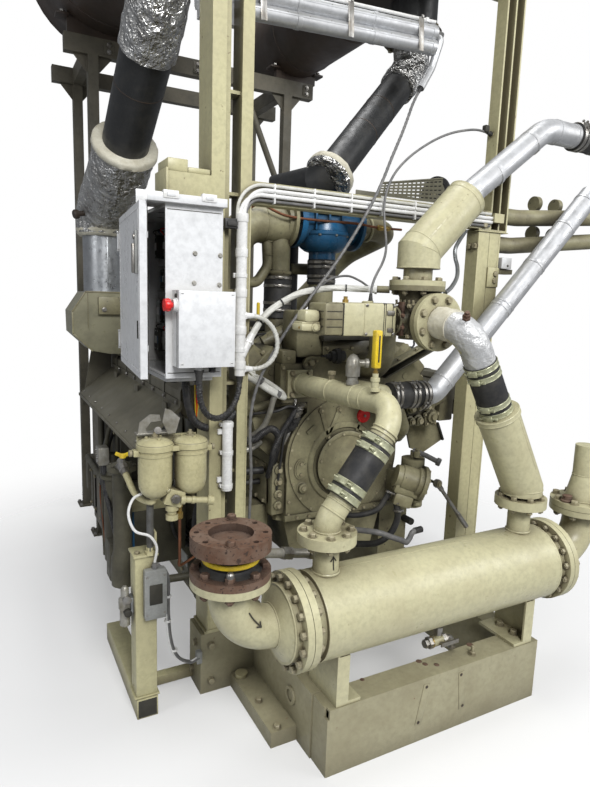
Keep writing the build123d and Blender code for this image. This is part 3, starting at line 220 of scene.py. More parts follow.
OLIVE = (0.56, 0.525, 0.305)
mats = {
    "frame": surface("paint_olive", OLIVE, 0.42, dirt=(0.426, 0.383, 0.234), dirt_share=0.3,
                     spots=(0.17, 0.121, 0.064), spot_share=0.12, shade_and_grime=(0.142, 0.121, 0.071), streak=True),
    "pipe": surface("paint_pipe", (0.575, 0.545, 0.345), 0.36, dirt=(0.454, 0.412, 0.256), dirt_share=0.26,
                    spots=(0.227, 0.17, 0.099), spot_share=0.05, shade_and_grime=(0.17, 0.142, 0.085)),
    "engine": surface("paint_engine", (0.362, 0.338, 0.202), 0.46, dirt=(0.142, 0.121, 0.071),
                      dirt_share=0.42, spots=(0.071, 0.057, 0.043), spot_share=0.25, scale=9, bump=0.35,
                      shade_and_grime=(0.05, 0.043, 0.028)),
    "beam": surface("paint_beam", (0.391, 0.362, 0.234), 0.5, dirt=(0.27, 0.241, 0.149),
                    spots=(0.199, 0.106, 0.057), spot_share=0.1, shade_and_grime=(0.128, 0.114, 0.071)),
    "dark_frame": surface("frame_dark", (0.106, 0.097, 0.071), 0.55, dirt=(0.17, 0.149, 0.106),
                          dirt_share=0.3),
    "drum": surface("drum_brown", (0.039, 0.03, 0.024), 0.5, dirt=(0.072, 0.044, 0.028), scale=3),
    "black": surface("exhaust_black", (0.024, 0.025, 0.026), 0.42, dirt=(0.055, 0.052, 0.046),
                     dirt_share=0.22, scale=12, bump=0.1),
    "foil": surface("foil", (0.72, 0.72, 0.71), 0.30, metal=1.0, dirt=(0.30, 0.28, 0.25), scale=14,
                    bump=1.0, bump_scale=20, relief=0.05),
    "galvanised": surface("galvanised", (0.48, 0.50, 0.51), 0.42, metal=0.9, dirt=(0.36, 0.37, 0.38),
                          dirt_share=0.4, scale=30, bump=0.05),
    "riser": surface("galvanised_riser", (0.50, 0.52, 0.54), 0.36, metal=0.9, dirt=(0.36, 0.37, 0.38),
                     dirt_share=0.4, scale=20, bump=0.05, below=(1.594, (0.30, 0.285, 0.19))),
    "guard": surface("paint_guard", (0.185, 0.172, 0.125), 0.5, dirt=(0.115, 0.105, 0.07), dirt_share=0.3,
                     scale=3, spots=(0.08, 0.06, 0.04), spot_share=0.02, shade_and_grime=(0.04, 0.035, 0.025)),
    "tape": surface("foil_tape", (0.66, 0.665, 0.67), 0.42, metal=0.45, dirt=(0.52, 0.52, 0.51), scale=12,
                    bump=0.9, bump_scale=38, relief=0.008),
    "cladding": surface("cladding", (0.62, 0.63, 0.645), 0.46, metal=0.62, dirt=(0.48, 0.48, 0.48), scale=7,
                        bump=0.12, bump_scale=40),
    "rust": surface("rusty_iron", (0.127, 0.064, 0.037), 0.75, dirt=(0.209, 0.154, 0.116), dirt_share=0.36,
                    spots=(0.05, 0.029, 0.02), spot_share=0.6, shade_and_grime=(0.033, 0.017, 0.011), scale=14,
                    bump=0.7, bump_scale=90),
    "rubber": surface("rubber_black", (0.02, 0.02, 0.021), 0.55, dirt=(0.066, 0.062, 0.053), dirt_share=0.3,
                      scale=16, bump=0.3, bump_scale=160),
    "white": surface("cabinet_white", (0.80, 0.81, 0.82), 0.33, dirt=(0.755, 0.76, 0.76), dirt_share=0.15,
                     scale=4, bump=0.05, shade_and_grime=(0.504, 0.493, 0.47)),
    "white_plastic": surface("conduit_white", (0.86, 0.86, 0.851), 0.3, dirt=(0.672, 0.661, 0.616),
                             dirt_share=0.3, scale=12, bump=0.03),
    "blue": surface("mixer_blue", (0.017, 0.128, 0.284), 0.32, dirt=(0.028, 0.064, 0.106), dirt_share=0.3,
                    scale=10, shade_and_grime=(0.014, 0.028, 0.043)),
    "red": surface("stop_red", (0.775, 0.025, 0.025), 0.25, bump=0.02),
    "yellow": surface("yellow_paint", (0.86, 0.625, 0.025), 0.4, dirt=(0.438, 0.3, 0.062), dirt_share=0.3,
                      scale=20),
    "steel": surface("bare_steel", (0.42, 0.41, 0.39), 0.38, metal=0.9, dirt=(0.2, 0.17, 0.13), scale=25),
    "bolt": surface("bolt_painted", (0.469, 0.433, 0.284), 0.45, dirt=(0.213, 0.17, 0.099), dirt_share=0.4,
                    scale=40, shade_and_grime=(0.085, 0.071, 0.043)),
    "clamp": surface("clamp_band", (0.52, 0.53, 0.36), 0.35, metal=0.35, dirt=(0.22, 0.21, 0.12),
                     dirt_share=0.3, scale=40, bump=0.05),
    "cable": surface("cable_grey", (0.143, 0.143, 0.143), 0.45, dirt=(0.242, 0.231, 0.22), dirt_share=0.3,
                     scale=30, bump=0.1),
    "wrap": surface("pipe_wrap", (0.725, 0.7, 0.587), 0.6, dirt=(0.475, 0.438, 0.325), dirt_share=0.4,
                    scale=18, bump=0.9, bump_scale=60),
    "white_cable": surface("cable_white", (0.75, 0.75, 0.7), 0.4, dirt=(0.45, 0.438, 0.388), scale=22,
                           bump=0.1),
    "loom": surface("loom_black", (0.022, 0.022, 0.024), 0.36, dirt=(0.077, 0.072, 0.066), dirt_share=0.3,
                    scale=40, bump=1.0, bump_scale=300),
    "tray": surface("tray_olive", (0.142, 0.135, 0.092), 0.5, dirt=(0.071, 0.064, 0.043), dirt_share=0.3,
                    scale=20),
    "filter": surface("paint_filter", (0.568, 0.525, 0.305), 0.32, dirt=(0.369, 0.334, 0.192),
                      dirt_share=0.26, scale=9, shade_and_grime=(0.142, 0.121, 0.071)),
    "grey_pipe": surface("pipe_grey", (0.17, 0.17, 0.165), 0.42, metal=0.4, dirt=(0.08, 0.075, 0.06),
                         scale=30),
    "bracket": surface("bracket_bright", (0.50, 0.49, 0.45), 0.4, metal=0.5, dirt=(0.22, 0.2, 0.15),
                       dirt_share=0.45, scale=25, bump=0.5),
    # painted shade: a darker copy of the engine paint, for parts that stand in shadow
    "shade_paint": surface("paint_dark_shade", (0.115, 0.108, 0.072), 0.5, dirt=(0.055, 0.05, 0.036),
                          dirt_share=0.4, scale=12, bump=0.3, shade_and_grime=(0.028, 0.026, 0.017)),
    "copper": surface("copper", (0.30, 0.125, 0.07), 0.5, metal=0.8, dirt=(0.14, 0.07, 0.04),
                      dirt_share=0.4, scale=30),
    "brass": surface("brass", (0.55, 0.38, 0.12), 0.35, metal=0.9, dirt=(0.25, 0.17, 0.06), scale=30),
    # near-black: the own colour of black parts, gaskets and printed arrows, and painted shade where it
    # stands for the depth of holes, slots and openings
    "black_and_hole_shade": surface("dark_black_and_hole_shade", (0.033, 0.031, 0.024), 0.7, dirt=(0.066, 0.061, 0.044),
                      dirt_share=0.3),
    "grey": surface("grey_box", (0.341, 0.348, 0.334), 0.45, dirt=(0.199, 0.199, 0.185), dirt_share=0.3,
                    scale=12),
}
NODE_LOOKS = {
    "beam": ("front_crossbeam", "skid_frame"),
    "frame": ("left_post", "right_post", "portal_beams", "filter_stand"),
    "dark_frame": ("platform_frame",),
    "drum": ("silencers",),
    "black": ("exhaust_pipe_left", "exhaust_pipe_right"),
    "riser": ("exhaust_riser_left",),
    "cladding": ("clad_pipes", "bright_pipes"),
    "engine": ("crankcase", "oil_sump", "gear_cover", "cylinder_heads", "intake_plenum", "alternator",
               "three_way_valve", "side_pipes"),
    "guard": ("exhaust_manifolds",),
    "blue": ("mixer",),
    "pipe": ("exchanger_shell", "inlet_elbow", "outlet_elbow", "engine_pipes", "valve_actuator",
             "upper_insulated_pipe", "downpipe"),
    "rust": ("rusty_flanges",),
    "rubber": ("rubber_bellows", "rubber_hoses"),
    "white": ("cabinet_body", "cabinet_door", "junction_box"),
    "red": ("stop_button",),
    "white_plastic": ("conduit",),
    "steel": ("pump_lever", "tap_lever"),
}
look_of = {node: look for look, group in NODE_LOOKS.items() for node in group}
for name, node in nodes.items():
    node.data.materials.clear()
    node.data.materials.append(mats[look_of.get(name, "cable")])

# Floor and light
FLOOR_HALF = 30
FLOOR_CENTRE = (0, -1.2, 0)
SHADOW_NEAR, SHADOW_FAR, FLOOR_VEIL = 0.9, 3.2, 0.3
SKY_COLOUR, SKY_STRENGTH = (0.92, 0.95, 1.0, 1), 0.24


def make_floor():
    """A pale floor that keeps the shadow and fades to the white background."""
    h = FLOOR_HALF
    mesh = bpy.data.meshes.new("floor")
    mesh.from_pydata([(-h, -h, 0), (h, -h, 0), (h, h, 0), (-h, h, 0)], [], [(0, 1, 2, 3)])
    floor = bpy.data.objects.new("floor", mesh)
    scene.collection.objects.link(floor)
    pale = bpy.data.materials.new("floor_pale")
    pale.use_nodes = True
    t = pale.node_tree
    shader = t.nodes["Principled BSDF"]
    shader.inputs["Base Color"].default_value = (0.86, 0.86, 0.86, 1)
    shader.inputs["Roughness"].default_value = 0.9
    place = t.nodes.new("ShaderNodeTexCoord")
    shift = t.nodes.new("ShaderNodeMapping")
    shift.inputs["Location"].default_value = FLOOR_CENTRE
    reach = t.nodes.new("ShaderNodeVectorMath")
    reach.operation = "LENGTH"
    fade = t.nodes.new("ShaderNodeMapRange")
    fade.interpolation_type = "SMOOTHSTEP"
    fade.inputs["From Min"].default_value = SHADOW_NEAR
    fade.inputs["From Max"].default_value = SHADOW_FAR
    fade.inputs["To Min"].default_value = FLOOR_VEIL
    clear = t.nodes.new("ShaderNodeBsdfTransparent")
    blend = t.nodes.new("ShaderNodeMixShader")
    t.links.new(place.outputs["Object"], shift.inputs["Vector"])
    t.links.new(shift.outputs["Vector"], reach.inputs[0])
    t.links.new(reach.outputs["Value"], fade.inputs["Value"])
    t.links.new(fade.outputs["Result"], blend.inputs[0])
    t.links.new(shader.outputs[0], blend.inputs[1])
    t.links.new(clear.outputs[0], blend.inputs[2])
    t.links.new(blend.outputs[0], t.nodes["Material Output"].inputs["Surface"])
    mesh.materials.append(pale)


def make_world():
    """A soft sky light that the camera sees as plain white."""
    world = bpy.data.worlds.new("studio")
    scene.world = world
    world.use_nodes = True
    t = world.node_tree
    sky = t.nodes["Background"]
    sky.inputs["Color"].default_value = SKY_COLOUR
    sky.inputs["Strength"].default_value = SKY_STRENGTH
    seen = t.nodes.new("ShaderNodeBackground")
    seen.inputs["Color"].default_value = (1, 1, 1, 1)
    seen.inputs["Strength"].default_value = 1.0
    rays = t.nodes.new("ShaderNodeLightPath")
    pick = t.nodes.new("ShaderNodeMixShader")
    t.links.new(rays.outputs["Is Camera Ray"], pick.inputs[0])
    t.links.new(sky.outputs[0], pick.inputs[1])
    t.links.new(seen.outputs[0], pick.inputs[2])
    t.links.new(pick.outputs[0], t.nodes["World Output"].inputs["Surface"])


def lamp(name, place, target, size, power):
    """A soft square area lamp, in metres and watts, aimed at a point."""
    data = bpy.data.lights.new(name, "AREA")
    data.size = size
    data.energy = power
    o = bpy.data.objects.new(name, data)
    o.location = place
    o.rotation_euler = (Vector(target) - Vector(place)).to_track_quat("-Z", "Y").to_euler()
    scene.collection.objects.link(o)


make_floor()
make_world()
lamp("key", (-1.2, -5.2, 5.2), (0, 0.6, 1.1), 2.2, 400)
lamp("side", (-5.2, -0.6, 3.2), (-0.4, 0.9, 1.4), 2.4, 45)
lamp("fill", (4.2, -3.4, 4.0), (0.4, 0.6, 1.8), 3.0, 120)
lamp("top", (0.2, 1.4, 7.2), (0.2, 1.3, 1.5), 3.2, 240)


# Directions of the shared frame
RIGHT, LEFT = (1, 0, 0), (-1, 0, 0)
BACK, FRONT = (0, 1, 0), (0, -1, 0)
UP, DOWN = (0, 0, 1), (0, 0, -1)


# Mesh building, in millimetres
def vec(p):
    """A point in metres from one in millimetres."""
    return Vector(p) * MM


def at(start, direction, distance):
    """The point at a distance from another along a direction."""
    return Vector(start) + Vector(direction) * distance


def basis(axis):
    """Two directions square to an axis."""
    axis = Vector(axis).normalized()
    side = axis.orthogonal()
    if abs(axis.z) > 0.9:
        side = Vector(RIGHT)
    elif abs(axis.x) > 0.9:
        side = Vector(BACK)
    side = (side - axis * side.dot(axis)).normalized()
    return side, axis.cross(side)


class Piece:
    """Collects geometry in millimetres into one object that rides on a body."""

    def __init__(self, name, *looks_used, body="set"):
        self.name = name
        self.looks = looks_used
        self.body = body
        self.bm = bmesh.new()

    def slot(self, look):
        """The slot of a look given by its name; the first look is the default."""
        return self.looks.index(look) if look else 0

    def lathe(self, origin, direction, profile, seg=40, look=None):
        """Turns a list of (distance, radius) about an axis."""
        slot = self.slot(look)
        axis = Vector(direction).normalized()
        side = axis.orthogonal().normalized()
        other = axis.cross(side)
        base = vec(origin)
        rings = []
        for t, r in profile:
            c = base + axis * t * MM
            if r <= 0:
                rings.append([self.bm.verts.new(c)])
                continue
            ring = []
            for i in range(seg):
                a = 2 * math.pi * i / seg
                ring.append(self.bm.verts.new(c + (side * math.cos(a) + other * math.sin(a)) * r * MM))
            rings.append(ring)
        for low, high in zip(rings, rings[1:]):
            for i in range(seg):
                j = (i + 1) % seg
                a = [low[i % len(low)], low[j % len(low)], high[j % len(high)], high[i % len(high)]]
                loop = []
                for v in a:
                    if v not in loop:
                        loop.append(v)
                if len(loop) >= 3:
                    try:
                        f = self.bm.faces.new(loop)
                    except ValueError:
                        continue
                    f.material_index = slot
        for ring, flip in ((rings[0], True), (rings[-1], False)):
            if len(ring) > 2:
                f = self.bm.faces.new(list(reversed(ring)) if flip else ring)
                f.material_index = slot
        return self

    def rod(self, origin, direction, radius, length, seg=40, look=None):
        """A plain cylinder that starts at a point."""
        return self.lathe(origin, direction, [(0, radius), (length, radius)], seg, look)

    def sleeve(self, origin, direction, inner, outer, length, seg=40, look=None):
        """A short collar around a pipe."""
        return self.lathe(origin, direction, [(0, inner), (0, outer), (length, outer), (length, inner)],
                          seg, look)

    def hose(self, points, steps, radius, seg=16, look=None):
        """A tube on a smooth curve through a few points."""
        return self.tube(smooth(points, steps), radius, seg, look)

    def pipe(self, points, bend, steps, spacing, radius, seg=16, look=None):
        """A tube of straight runs with round bends."""
        return self.tube(dense(rounded(points, bend, steps), spacing), radius, seg, look)

    def box(self, lo, hi, bevel=0.0, look=None, turn=None):
        """A box between two corners, with its edges bevelled."""
        slot = self.slot(look)
        made = bmesh.ops.create_cube(self.bm, size=1.0)["verts"]
        lo, hi = vec(lo), vec(hi)
        mid = (lo + hi) / 2
        size = hi - lo
        for v in made:
            v.co = Vector((v.co.x * size.x, v.co.y * size.y, v.co.z * size.z))
        faces = {f for v in made for f in v.link_faces}
        for f in faces:
            f.material_index = slot
        if bevel:
            edges = {e for f in faces for e in f.edges}
            out = bmesh.ops.bevel(self.bm, geom=list(edges), offset=bevel * MM, segments=2, affect="EDGES",
                                  profile=0.5)
            made = list({v for f in out["faces"] for v in f.verts} | {v for v in made if v.is_valid})
            for f in {f for v in made for f in v.link_faces}:
                f.material_index = slot
        for v in made:
            v.co = (turn @ v.co if turn else v.co) + mid
        return self

    def block(self, centre, size, along=RIGHT, up=UP, bevel=1.0, look=None):
        """A bevelled block whose first side lies along a direction."""
        x = Vector(along).normalized()
        z = (Vector(up) - x * x.dot(Vector(up))).normalized()
        half = Vector(size) / 2
        turn = Matrix((x, z.cross(x), z)).transposed()
        return self.box(Vector(centre) - half, Vector(centre) + half, bevel, look, turn)

    def bead(self, centre, axis, radius, width=7.0, height=2.0, look=None):
        """A raised ring around a pipe, such as a weld."""
        a = Vector(axis).normalized()
        low = Vector(centre) - a * width / 2
        return self.lathe(low, a, [(0, radius - 1), (0, radius + height * 0.3),
                                   (width * 0.3, radius + height), (width * 0.7, radius + height),
                                   (width, radius + height * 0.3), (width, radius - 1)], 40, look)

    def clamp(self, centre, axis, radius, width=14.0, facing=FRONT, look=None):
        """A band clamp with rolled edges and a screw in its housing."""
        a = Vector(axis).normalized()
        low = Vector(centre) - a * width / 2
        edge = width * 0.16
        self.lathe(low, a, [(0, radius - 1), (0, radius + 2), (edge / 2, radius + 3), (edge, radius + 1.8),
                            (width - edge, radius + 1.8), (width - edge / 2, radius + 3),
                            (width, radius + 2), (width, radius - 1)], 44, look)
        out = (Vector(facing) - a * a.dot(Vector(facing))).normalized()
        tangent = a.cross(out)
        seat = Vector(centre) + out * (radius + 6)
        self.block(seat, (width * 1.6, width * 0.9, 10), tangent, out, 1.5, look)
        self.lathe(seat - tangent * width * 1.5, tangent, [(0, 3.2), (width * 3.0, 3.2)], 8, look)
        self.lathe(seat - tangent * (width * 1.5 + 6), tangent, [(0, 5.6), (6, 6.2)], 6, look)
        return self

    def tube(self, points, radius, seg=16, look=None, hollow=0.0, closed_ends=True):
        """A round tube through dense points in millimetres; radius may be a list."""
        slot = self.slot(look)
        pts = [vec(p) for p in points]
        n = len(pts)
        radii = radius if isinstance(radius, (list, tuple)) else [radius] * n
        tangent = (pts[1] - pts[0]).normalized()
        side = tangent.orthogonal().normalized()
        rings = []
        for i in range(n):
            ahead_t = (pts[min(i + 1, n - 1)] - pts[max(i - 1, 0)]).normalized()
            side = (side - ahead_t * side.dot(ahead_t)).normalized()
            other = ahead_t.cross(side)
            ring = []
            for k in range(seg):
                a = 2 * math.pi * k / seg
                out = side * math.cos(a) + other * math.sin(a)
                ring.append(self.bm.verts.new(pts[i] + out * radii[i] * MM))
            rings.append(ring)
        for low, high in zip(rings, rings[1:]):
            for k in range(seg):
                j = (k + 1) % seg
                f = self.bm.faces.new((low[k], low[j], high[j], high[k]))
                f.material_index = slot
        if closed_ends:
            self.bm.faces.new(list(reversed(rings[0]))).material_index = slot
            self.bm.faces.new(rings[-1]).material_index = slot
        return self

    def hexes(self, centre, direction, pcd, count, across, height, look=None, start=0.5, both=0.0,
              washer=True):
        """A ring of hexagon heads standing on a face, and on the far face when both gives its distance."""
        axis = Vector(direction).normalized()
        side, other = basis(axis)
        for i in range(count):
            a = 2 * math.pi * (i + start) / count
            p = Vector(centre) + (side * math.cos(a) + other * math.sin(a)) * pcd / 2
            self.bolt(p, axis, across, height, look, washer)
            if both:
                self.bolt(p - axis * both, -axis, across, height, look, washer)
                self.rod(p - axis * (both + height), -axis, across * 0.3, height * 0.5, 8, look)
        return self

    def bolt(self, place, direction, across, height, look=None, washer=True):
        """One hexagon head with a chamfered top and a washer."""
        r = across / math.sqrt(3)
        t = across * 0.09 if washer else 0.0
        if washer:
            self.lathe(place, direction, [(0, r * 1.25), (t, r * 1.25)], seg=12, look=look)
        self.lathe(place, direction, [(t, r), (t + height * 0.82, r), (t + height, r * 0.84)], seg=6,
                   look=look)
        return self

    def plate(self, outline, direction, thick, look=None):
        """A flat plate with the outline given as points, thickened along a direction."""
        slot = self.slot(look)
        push = Vector(direction).normalized() * thick * MM
        low = [self.bm.verts.new(vec(p)) for p in outline]
        high = [self.bm.verts.new(vec(p) + push) for p in outline]
        n = len(low)
        self.bm.faces.new(list(reversed(low))).material_index = slot
        self.bm.faces.new(high).material_index = slot
        for i in range(n):
            j = (i + 1) % n
            self.bm.faces.new((low[i], low[j], high[j], high[i])).material_index = slot
        return self

    def shake(self, amount, size, seed=0.0):
        """Crumples every point along its normal with smooth noise."""
        self.bm.normal_update()
        for v in self.bm.verts:
            n = noise.noise(v.co * size + Vector((seed, 0, 0)))
            n += 0.5 * noise.noise(v.co * size * 2.3 + Vector((0, seed, 3)))
            v.co += v.normal * n * amount * MM
        return self

    def done(self, angle=35, replaces=()):
        """Closes the piece: smooth shading, materials, its body and the nodes that it replaces."""
        bmesh.ops.recalc_face_normals(self.bm, faces=self.bm.faces)
        limit = math.radians(angle)
        for e in self.bm.edges:
            e.smooth = len(e.link_faces) != 2 or e.calc_face_angle(0) < limit
        for f in self.bm.faces:
            f.smooth = True
        mesh = bpy.data.meshes.new(self.name)
        self.bm.to_mesh(mesh)
        self.bm.free()
        for look in self.looks:
            mesh.materials.append(mats[look])
        o = bpy.data.objects.new(self.name, mesh)
        scene.collection.objects.link(o)
        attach(o, self.body)
        if replaces:
            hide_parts(*replaces)
        return o


def smooth(points, steps=8, tension=0.5):
    """Dense points on a smooth curve through the given ones."""
    p = [Vector(q) for q in points]
    p = [p[0] * 2 - p[1]] + p + [p[-1] * 2 - p[-2]]
    out = []
    for i in range(1, len(p) - 2):
        for k in range(steps):
            t = k / steps
            a = (p[i + 1] - p[i - 1]) * tension
            b = (p[i + 2] - p[i]) * tension
            start = p[i] * (2 * t ** 3 - 3 * t ** 2 + 1) + a * (t ** 3 - 2 * t ** 2 + t)
            out.append(start + p[i + 1] * (3 * t ** 2 - 2 * t ** 3) + b * (t ** 3 - t ** 2))
    out.append(p[-2])
    return out


def rounded(points, radius, steps=10):
    """Dense points on straight runs joined by round bends."""
    p = [Vector(q) for q in points]
    radii = radius if isinstance(radius, (list, tuple)) else [radius] * (len(p) - 2)
    out = [p[0]]
    for i in range(1, len(p) - 1):
        u = (p[i - 1] - p[i]).normalized()
        v = (p[i + 1] - p[i]).normalized()
        half = u.angle(v) / 2
        reach = radii[i - 1] / math.tan(half)
        a, b = p[i] + u * reach, p[i] + v * reach
        centre = p[i] + (u + v).normalized() * radii[i - 1] / math.sin(half)
        for k in range(steps + 1):
            q = a.lerp(b, k / steps) - centre
            out.append(centre + q.normalized() * radii[i - 1])
    out.append(p[-1])
    return out


def dense(points, step):
    """The same line with more points on its long runs."""
    out = [Vector(points[0])]
    for q in points[1:]:
        q = Vector(q)
        n = max(1, int((q - out[-1]).length // step))
        a = out[-1].copy()
        for k in range(1, n + 1):
            out.append(a.lerp(q, k / n))
    return out


def ellipse(centre, wide, high, turn=0.0, count=28):
    """Points of an ellipse in an upright plane that faces the front."""
    out = []
    for i in range(count):
        a = 2 * math.pi * i / count
        x, z = wide * math.cos(a), high * math.sin(a)
        out.append((centre[0] + x * math.cos(turn) - z * math.sin(turn), centre[1],
                    centre[2] + x * math.sin(turn) + z * math.cos(turn)))
    return out


# Cords, along the routes of their solids
def cord(name, look, node, diameter, route):
    """A free cord: one smooth spline that stands for its solid."""
    curve = bpy.data.curves.new(name, "CURVE")
    curve.dimensions = "3D"
    curve.bevel_depth = diameter / 2
    curve.bevel_resolution = 4
    curve.resolution_u = 8
    curve.use_fill_caps = True
    spline = curve.splines.new("NURBS")
    spline.points.add(len(route) - 1)
    for point, place in zip(spline.points, route):
        point.co = (*place, 1)
    spline.order_u = 3
    spline.use_endpoint_u = True
    curve.materials.append(mats[look])
    o = bpy.data.objects.new(name, curve)
    scene.collection.objects.link(o)
    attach(o, "set")
    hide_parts(node)
    return route


long_grey = cord("long_grey_cable", "cable", "long_grey_cord", 0.012,
                 [(0.318, 0.702, 2.535), (0.276, 0.692, 2.472), (0.232, 0.664, 2.396),
                  (0.176, 0.622, 2.318), (0.116, 0.576, 2.246), (0.060, 0.540, 2.170),
                  (0.012, 0.516, 2.086), (-0.034, 0.512, 1.998), (-0.084, 0.516, 1.908),
                  (-0.146, 0.518, 1.812), (-0.216, 0.515, 1.718), (-0.290, 0.514, 1.628),
                  (-0.360, 0.515, 1.540), (-0.424, 0.516, 1.452), (-0.476, 0.518, 1.368),
                  (-0.516, 0.520, 1.290), (-0.541, 0.522, 1.212), (-0.551, 0.524, 1.130),
                  (-0.549, 0.526, 1.046), (-0.541, 0.530, 0.965), (-0.536, 0.536, 0.880),
                  (-0.532, 0.550, 0.795), (-0.532, 0.556, 0.712), (-0.532, 0.556, 0.630)])
actuator_run = cord("actuator_cable", "cable", "actuator_cord", 0.010,
                    [(0.622, 0.570, 2.362), (0.566, 0.560, 2.364), (0.502, 0.542, 2.356),
                     (0.430, 0.526, 2.338), (0.355, 0.518, 2.316), (0.282, 0.520, 2.284),
                     (0.208, 0.522, 2.240), (0.138, 0.521, 2.190), (0.074, 0.519, 2.128),
                     (0.030, 0.513, 2.056), (0.012, 0.504, 1.978), (0.014, 0.492, 1.900),
                     (0.010, 0.468, 1.832), (-0.014, 0.438, 1.784), (-0.052, 0.404, 1.744),
                     (-0.092, 0.378, 1.708), (-0.122, 0.360, 1.672), (-0.135, 0.352, 1.634),
                     (-0.135, 0.352, 1.600)])
white_bundle = cord("white_cable_bundle", "white_cable", "white_bundle_cord", 0.024,
                    [(-0.562, 0.522, 1.437), (-0.541, 0.527, 1.474), (-0.509, 0.533, 1.515),
                              (-0.468, 0.537, 1.553), (-0.416, 0.539, 1.588), (-0.354, 0.541, 1.616),
                              (-0.290, 0.539, 1.634), (-0.222, 0.530, 1.644), (-0.160, 0.510, 1.647),
                              (-0.106, 0.474, 1.646), (-0.058, 0.438, 1.646)])
white_loop = cord("white_cable_loop", "white_cable", "white_loop_cord", 0.017,
                  [(-0.577, 0.520, 1.530), (-0.546, 0.516, 1.531), (-0.510, 0.506, 1.520),
                   (-0.480, 0.497, 1.494), (-0.461, 0.494, 1.458), (-0.456, 0.491, 1.420),
                   (-0.465, 0.493, 1.382), (-0.487, 0.499, 1.350), (-0.517, 0.508, 1.333),
                   (-0.548, 0.516, 1.329), (-0.577, 0.520, 1.330)])
box_loom = cord("box_loom", "loom", "box_loom_cord", 0.020,
                [(-0.808, 0.380, 1.340), (-0.808, 0.380, 1.290), (-0.801, 0.385, 1.237),
                 (-0.778, 0.400, 1.193), (-0.741, 0.425, 1.167), (-0.698, 0.454, 1.160),
                 (-0.657, 0.482, 1.172), (-0.625, 0.503, 1.201), (-0.606, 0.516, 1.237),
                 (-0.600, 0.520, 1.272), (-0.600, 0.520, 1.305)])

# Glands at both ends of each cord
p = Piece("cable_glands", "rubber", "white_plastic")
for run, thick, look in ((long_grey, 12, "rubber"), (actuator_run, 10, "rubber"),
                         (white_bundle, 24, "white_plastic"), (white_loop, 17, "white_plastic"),
                         (box_loom, 20, "rubber")):
    for end, following in ((run[0], run[1]), (run[-1], run[-2])):
        place = Vector(end) / MM
        way = Vector(following) / MM - place
        r = thick / 2
        p.lathe(place, way, [(-9, r + 4.5), (2, r + 4.5), (3, r + 3.4), (9, r + 3.0), (28, r + 0.6),
                             (28, r - 1)], 20, look)
        p.lathe(place, way, [(-9, r + 7.5), (-2, r + 7.5), (0, r + 6.5)], 6, look)
p.done()

# Heat exchanger and its elbows
p = Piece("exchanger_bolts", "bolt", "rubber")
for side in (-1, 1):
    p.hexes((side * 622, SHELL_Y, SHELL_Z), (side, 0, 0), 292, 16, 22, 13, both=50)
    p.rod((side * 595, SHELL_Y, SHELL_Z), (side, 0, 0), 157, 4, 48, "rubber")
    p.bolt((side * 430, 15, 262), UP, 26, 16)
    p.bolt((side * 430, 88, 262), UP, 26, 16)
for x in NOZZLES:
    p.hexes((x, SHELL_Y, 844), UP, 160, 8, 22, 12, both=36)
    p.rod((x, SHELL_Y, 825), UP, 92, 2, 48, "rubber")
p.hexes((OUTLET_X, SHELL_Y, 781), UP, 210, 8, 26, 14, both=50)
p.done()

# Bolts of the rusty flanges and the inlet elbow's plug
p = Piece("bellows_bolts", "rust", "steel")
p.hexes((INLET_X, SHELL_Y, 779), UP, 210, 8, 26, 14, both=48)
for turn in (1, 5):
    a = math.radians(22.5 + 45 * turn)
    p.bolt((INLET_X + 105 * math.cos(a), SHELL_Y + 105 * math.sin(a), 893), UP, 26, 15)
p.lathe((-855, -47, 790), UP, [(0, 12), (14, 12), (20, 9), (23, 4), (24, 0)], 16, "steel")
p.done()

# Rubber bellows with its yellow band
p = Piece("bellows", "rubber", "yellow")
p.lathe((INLET_X, SHELL_Y, 779), UP, [(0, 97), (4, 97), (8, 80), (14, 74), (20, 80), (27, 86), (39, 86),
                                      (46, 80), (52, 74), (58, 80), (62, 97), (66, 97)], 64)
p.lathe((INLET_X, SHELL_Y, 807), UP, [(0, 85), (1, 89), (4, 90), (11, 90), (14, 89), (15, 85)], 64,
        "yellow")
p.done(replaces=("rubber_bellows",))

# Welds of the exchanger and its elbows
p = Piece("exchanger_seams", "pipe")
for x, r in ((-534, 150), (534, 150)):
    p.bead((x, SHELL_Y, SHELL_Z), RIGHT, r, 8, 2.0)
for x, r in ((-572, 136), (572, 136), (-644, 128), (644, 128), (-672, 72), (672, 72)):
    p.bead((x, SHELL_Y, SHELL_Z), RIGHT, r, 7, 2.5)
p.box((-530, 46, 701), (530, 54, 703), 0.8)
for x in NOZZLES:
    p.bead((x, SHELL_Y, 703), UP, 46, 9, 3)
    p.bead((x, SHELL_Y, 806), UP, 44.5, 6, 2.5)
p.bead((INLET_X, SHELL_Y, 729), UP, 70, 7, 3)
p.bead((OUTLET_X, SHELL_Y, 729), UP, 70, 7, 3)
p.bead((OUTLET_X, SHELL_Y, 783), UP, 70, 6, 2.5)
p.bead((OUTLET_X, SHELL_Y, 891), UP, 46, 5, 2)
p.done()

# Skid details
p = Piece("crossbeam_fittings", "beam", "black_and_hole_shade", "rust", "bolt")
for x, z, lean in ((-93, 148, 0.2), (97, 148, -0.1)):
    p.block((x, -50.4, z), (158, 3.0, 28), (lean, 0, 1), RIGHT, 0.8)
for x, z in ((-79, 215), (-108, 80), (88, 216), (107, 81)):
    p.lathe((x, -51.6, z), FRONT, [(0, 6.5), (1.0, 6.5), (0.2, 4.5)], 16, "rust")
    # painted shade: a dark disc stands for the depth of each hole
    p.rod((x, -52.2, z), FRONT, 4.6, 0.5, 12, "black_and_hole_shade")
for x, y in ((7, -2), (-30, 20)):
    p.lathe((x, y, BEAM_TOP), UP, [(0, 11), (1.2, 9), (1.4, 0)], 11, "rust")
p.bolt((181, -8, BEAM_TOP), UP, 22, 12, "bolt")
p.lathe((181, -8, 262), UP, [(0, 6), (22, 6), (24, 4)], 12, "bolt")
p.done()

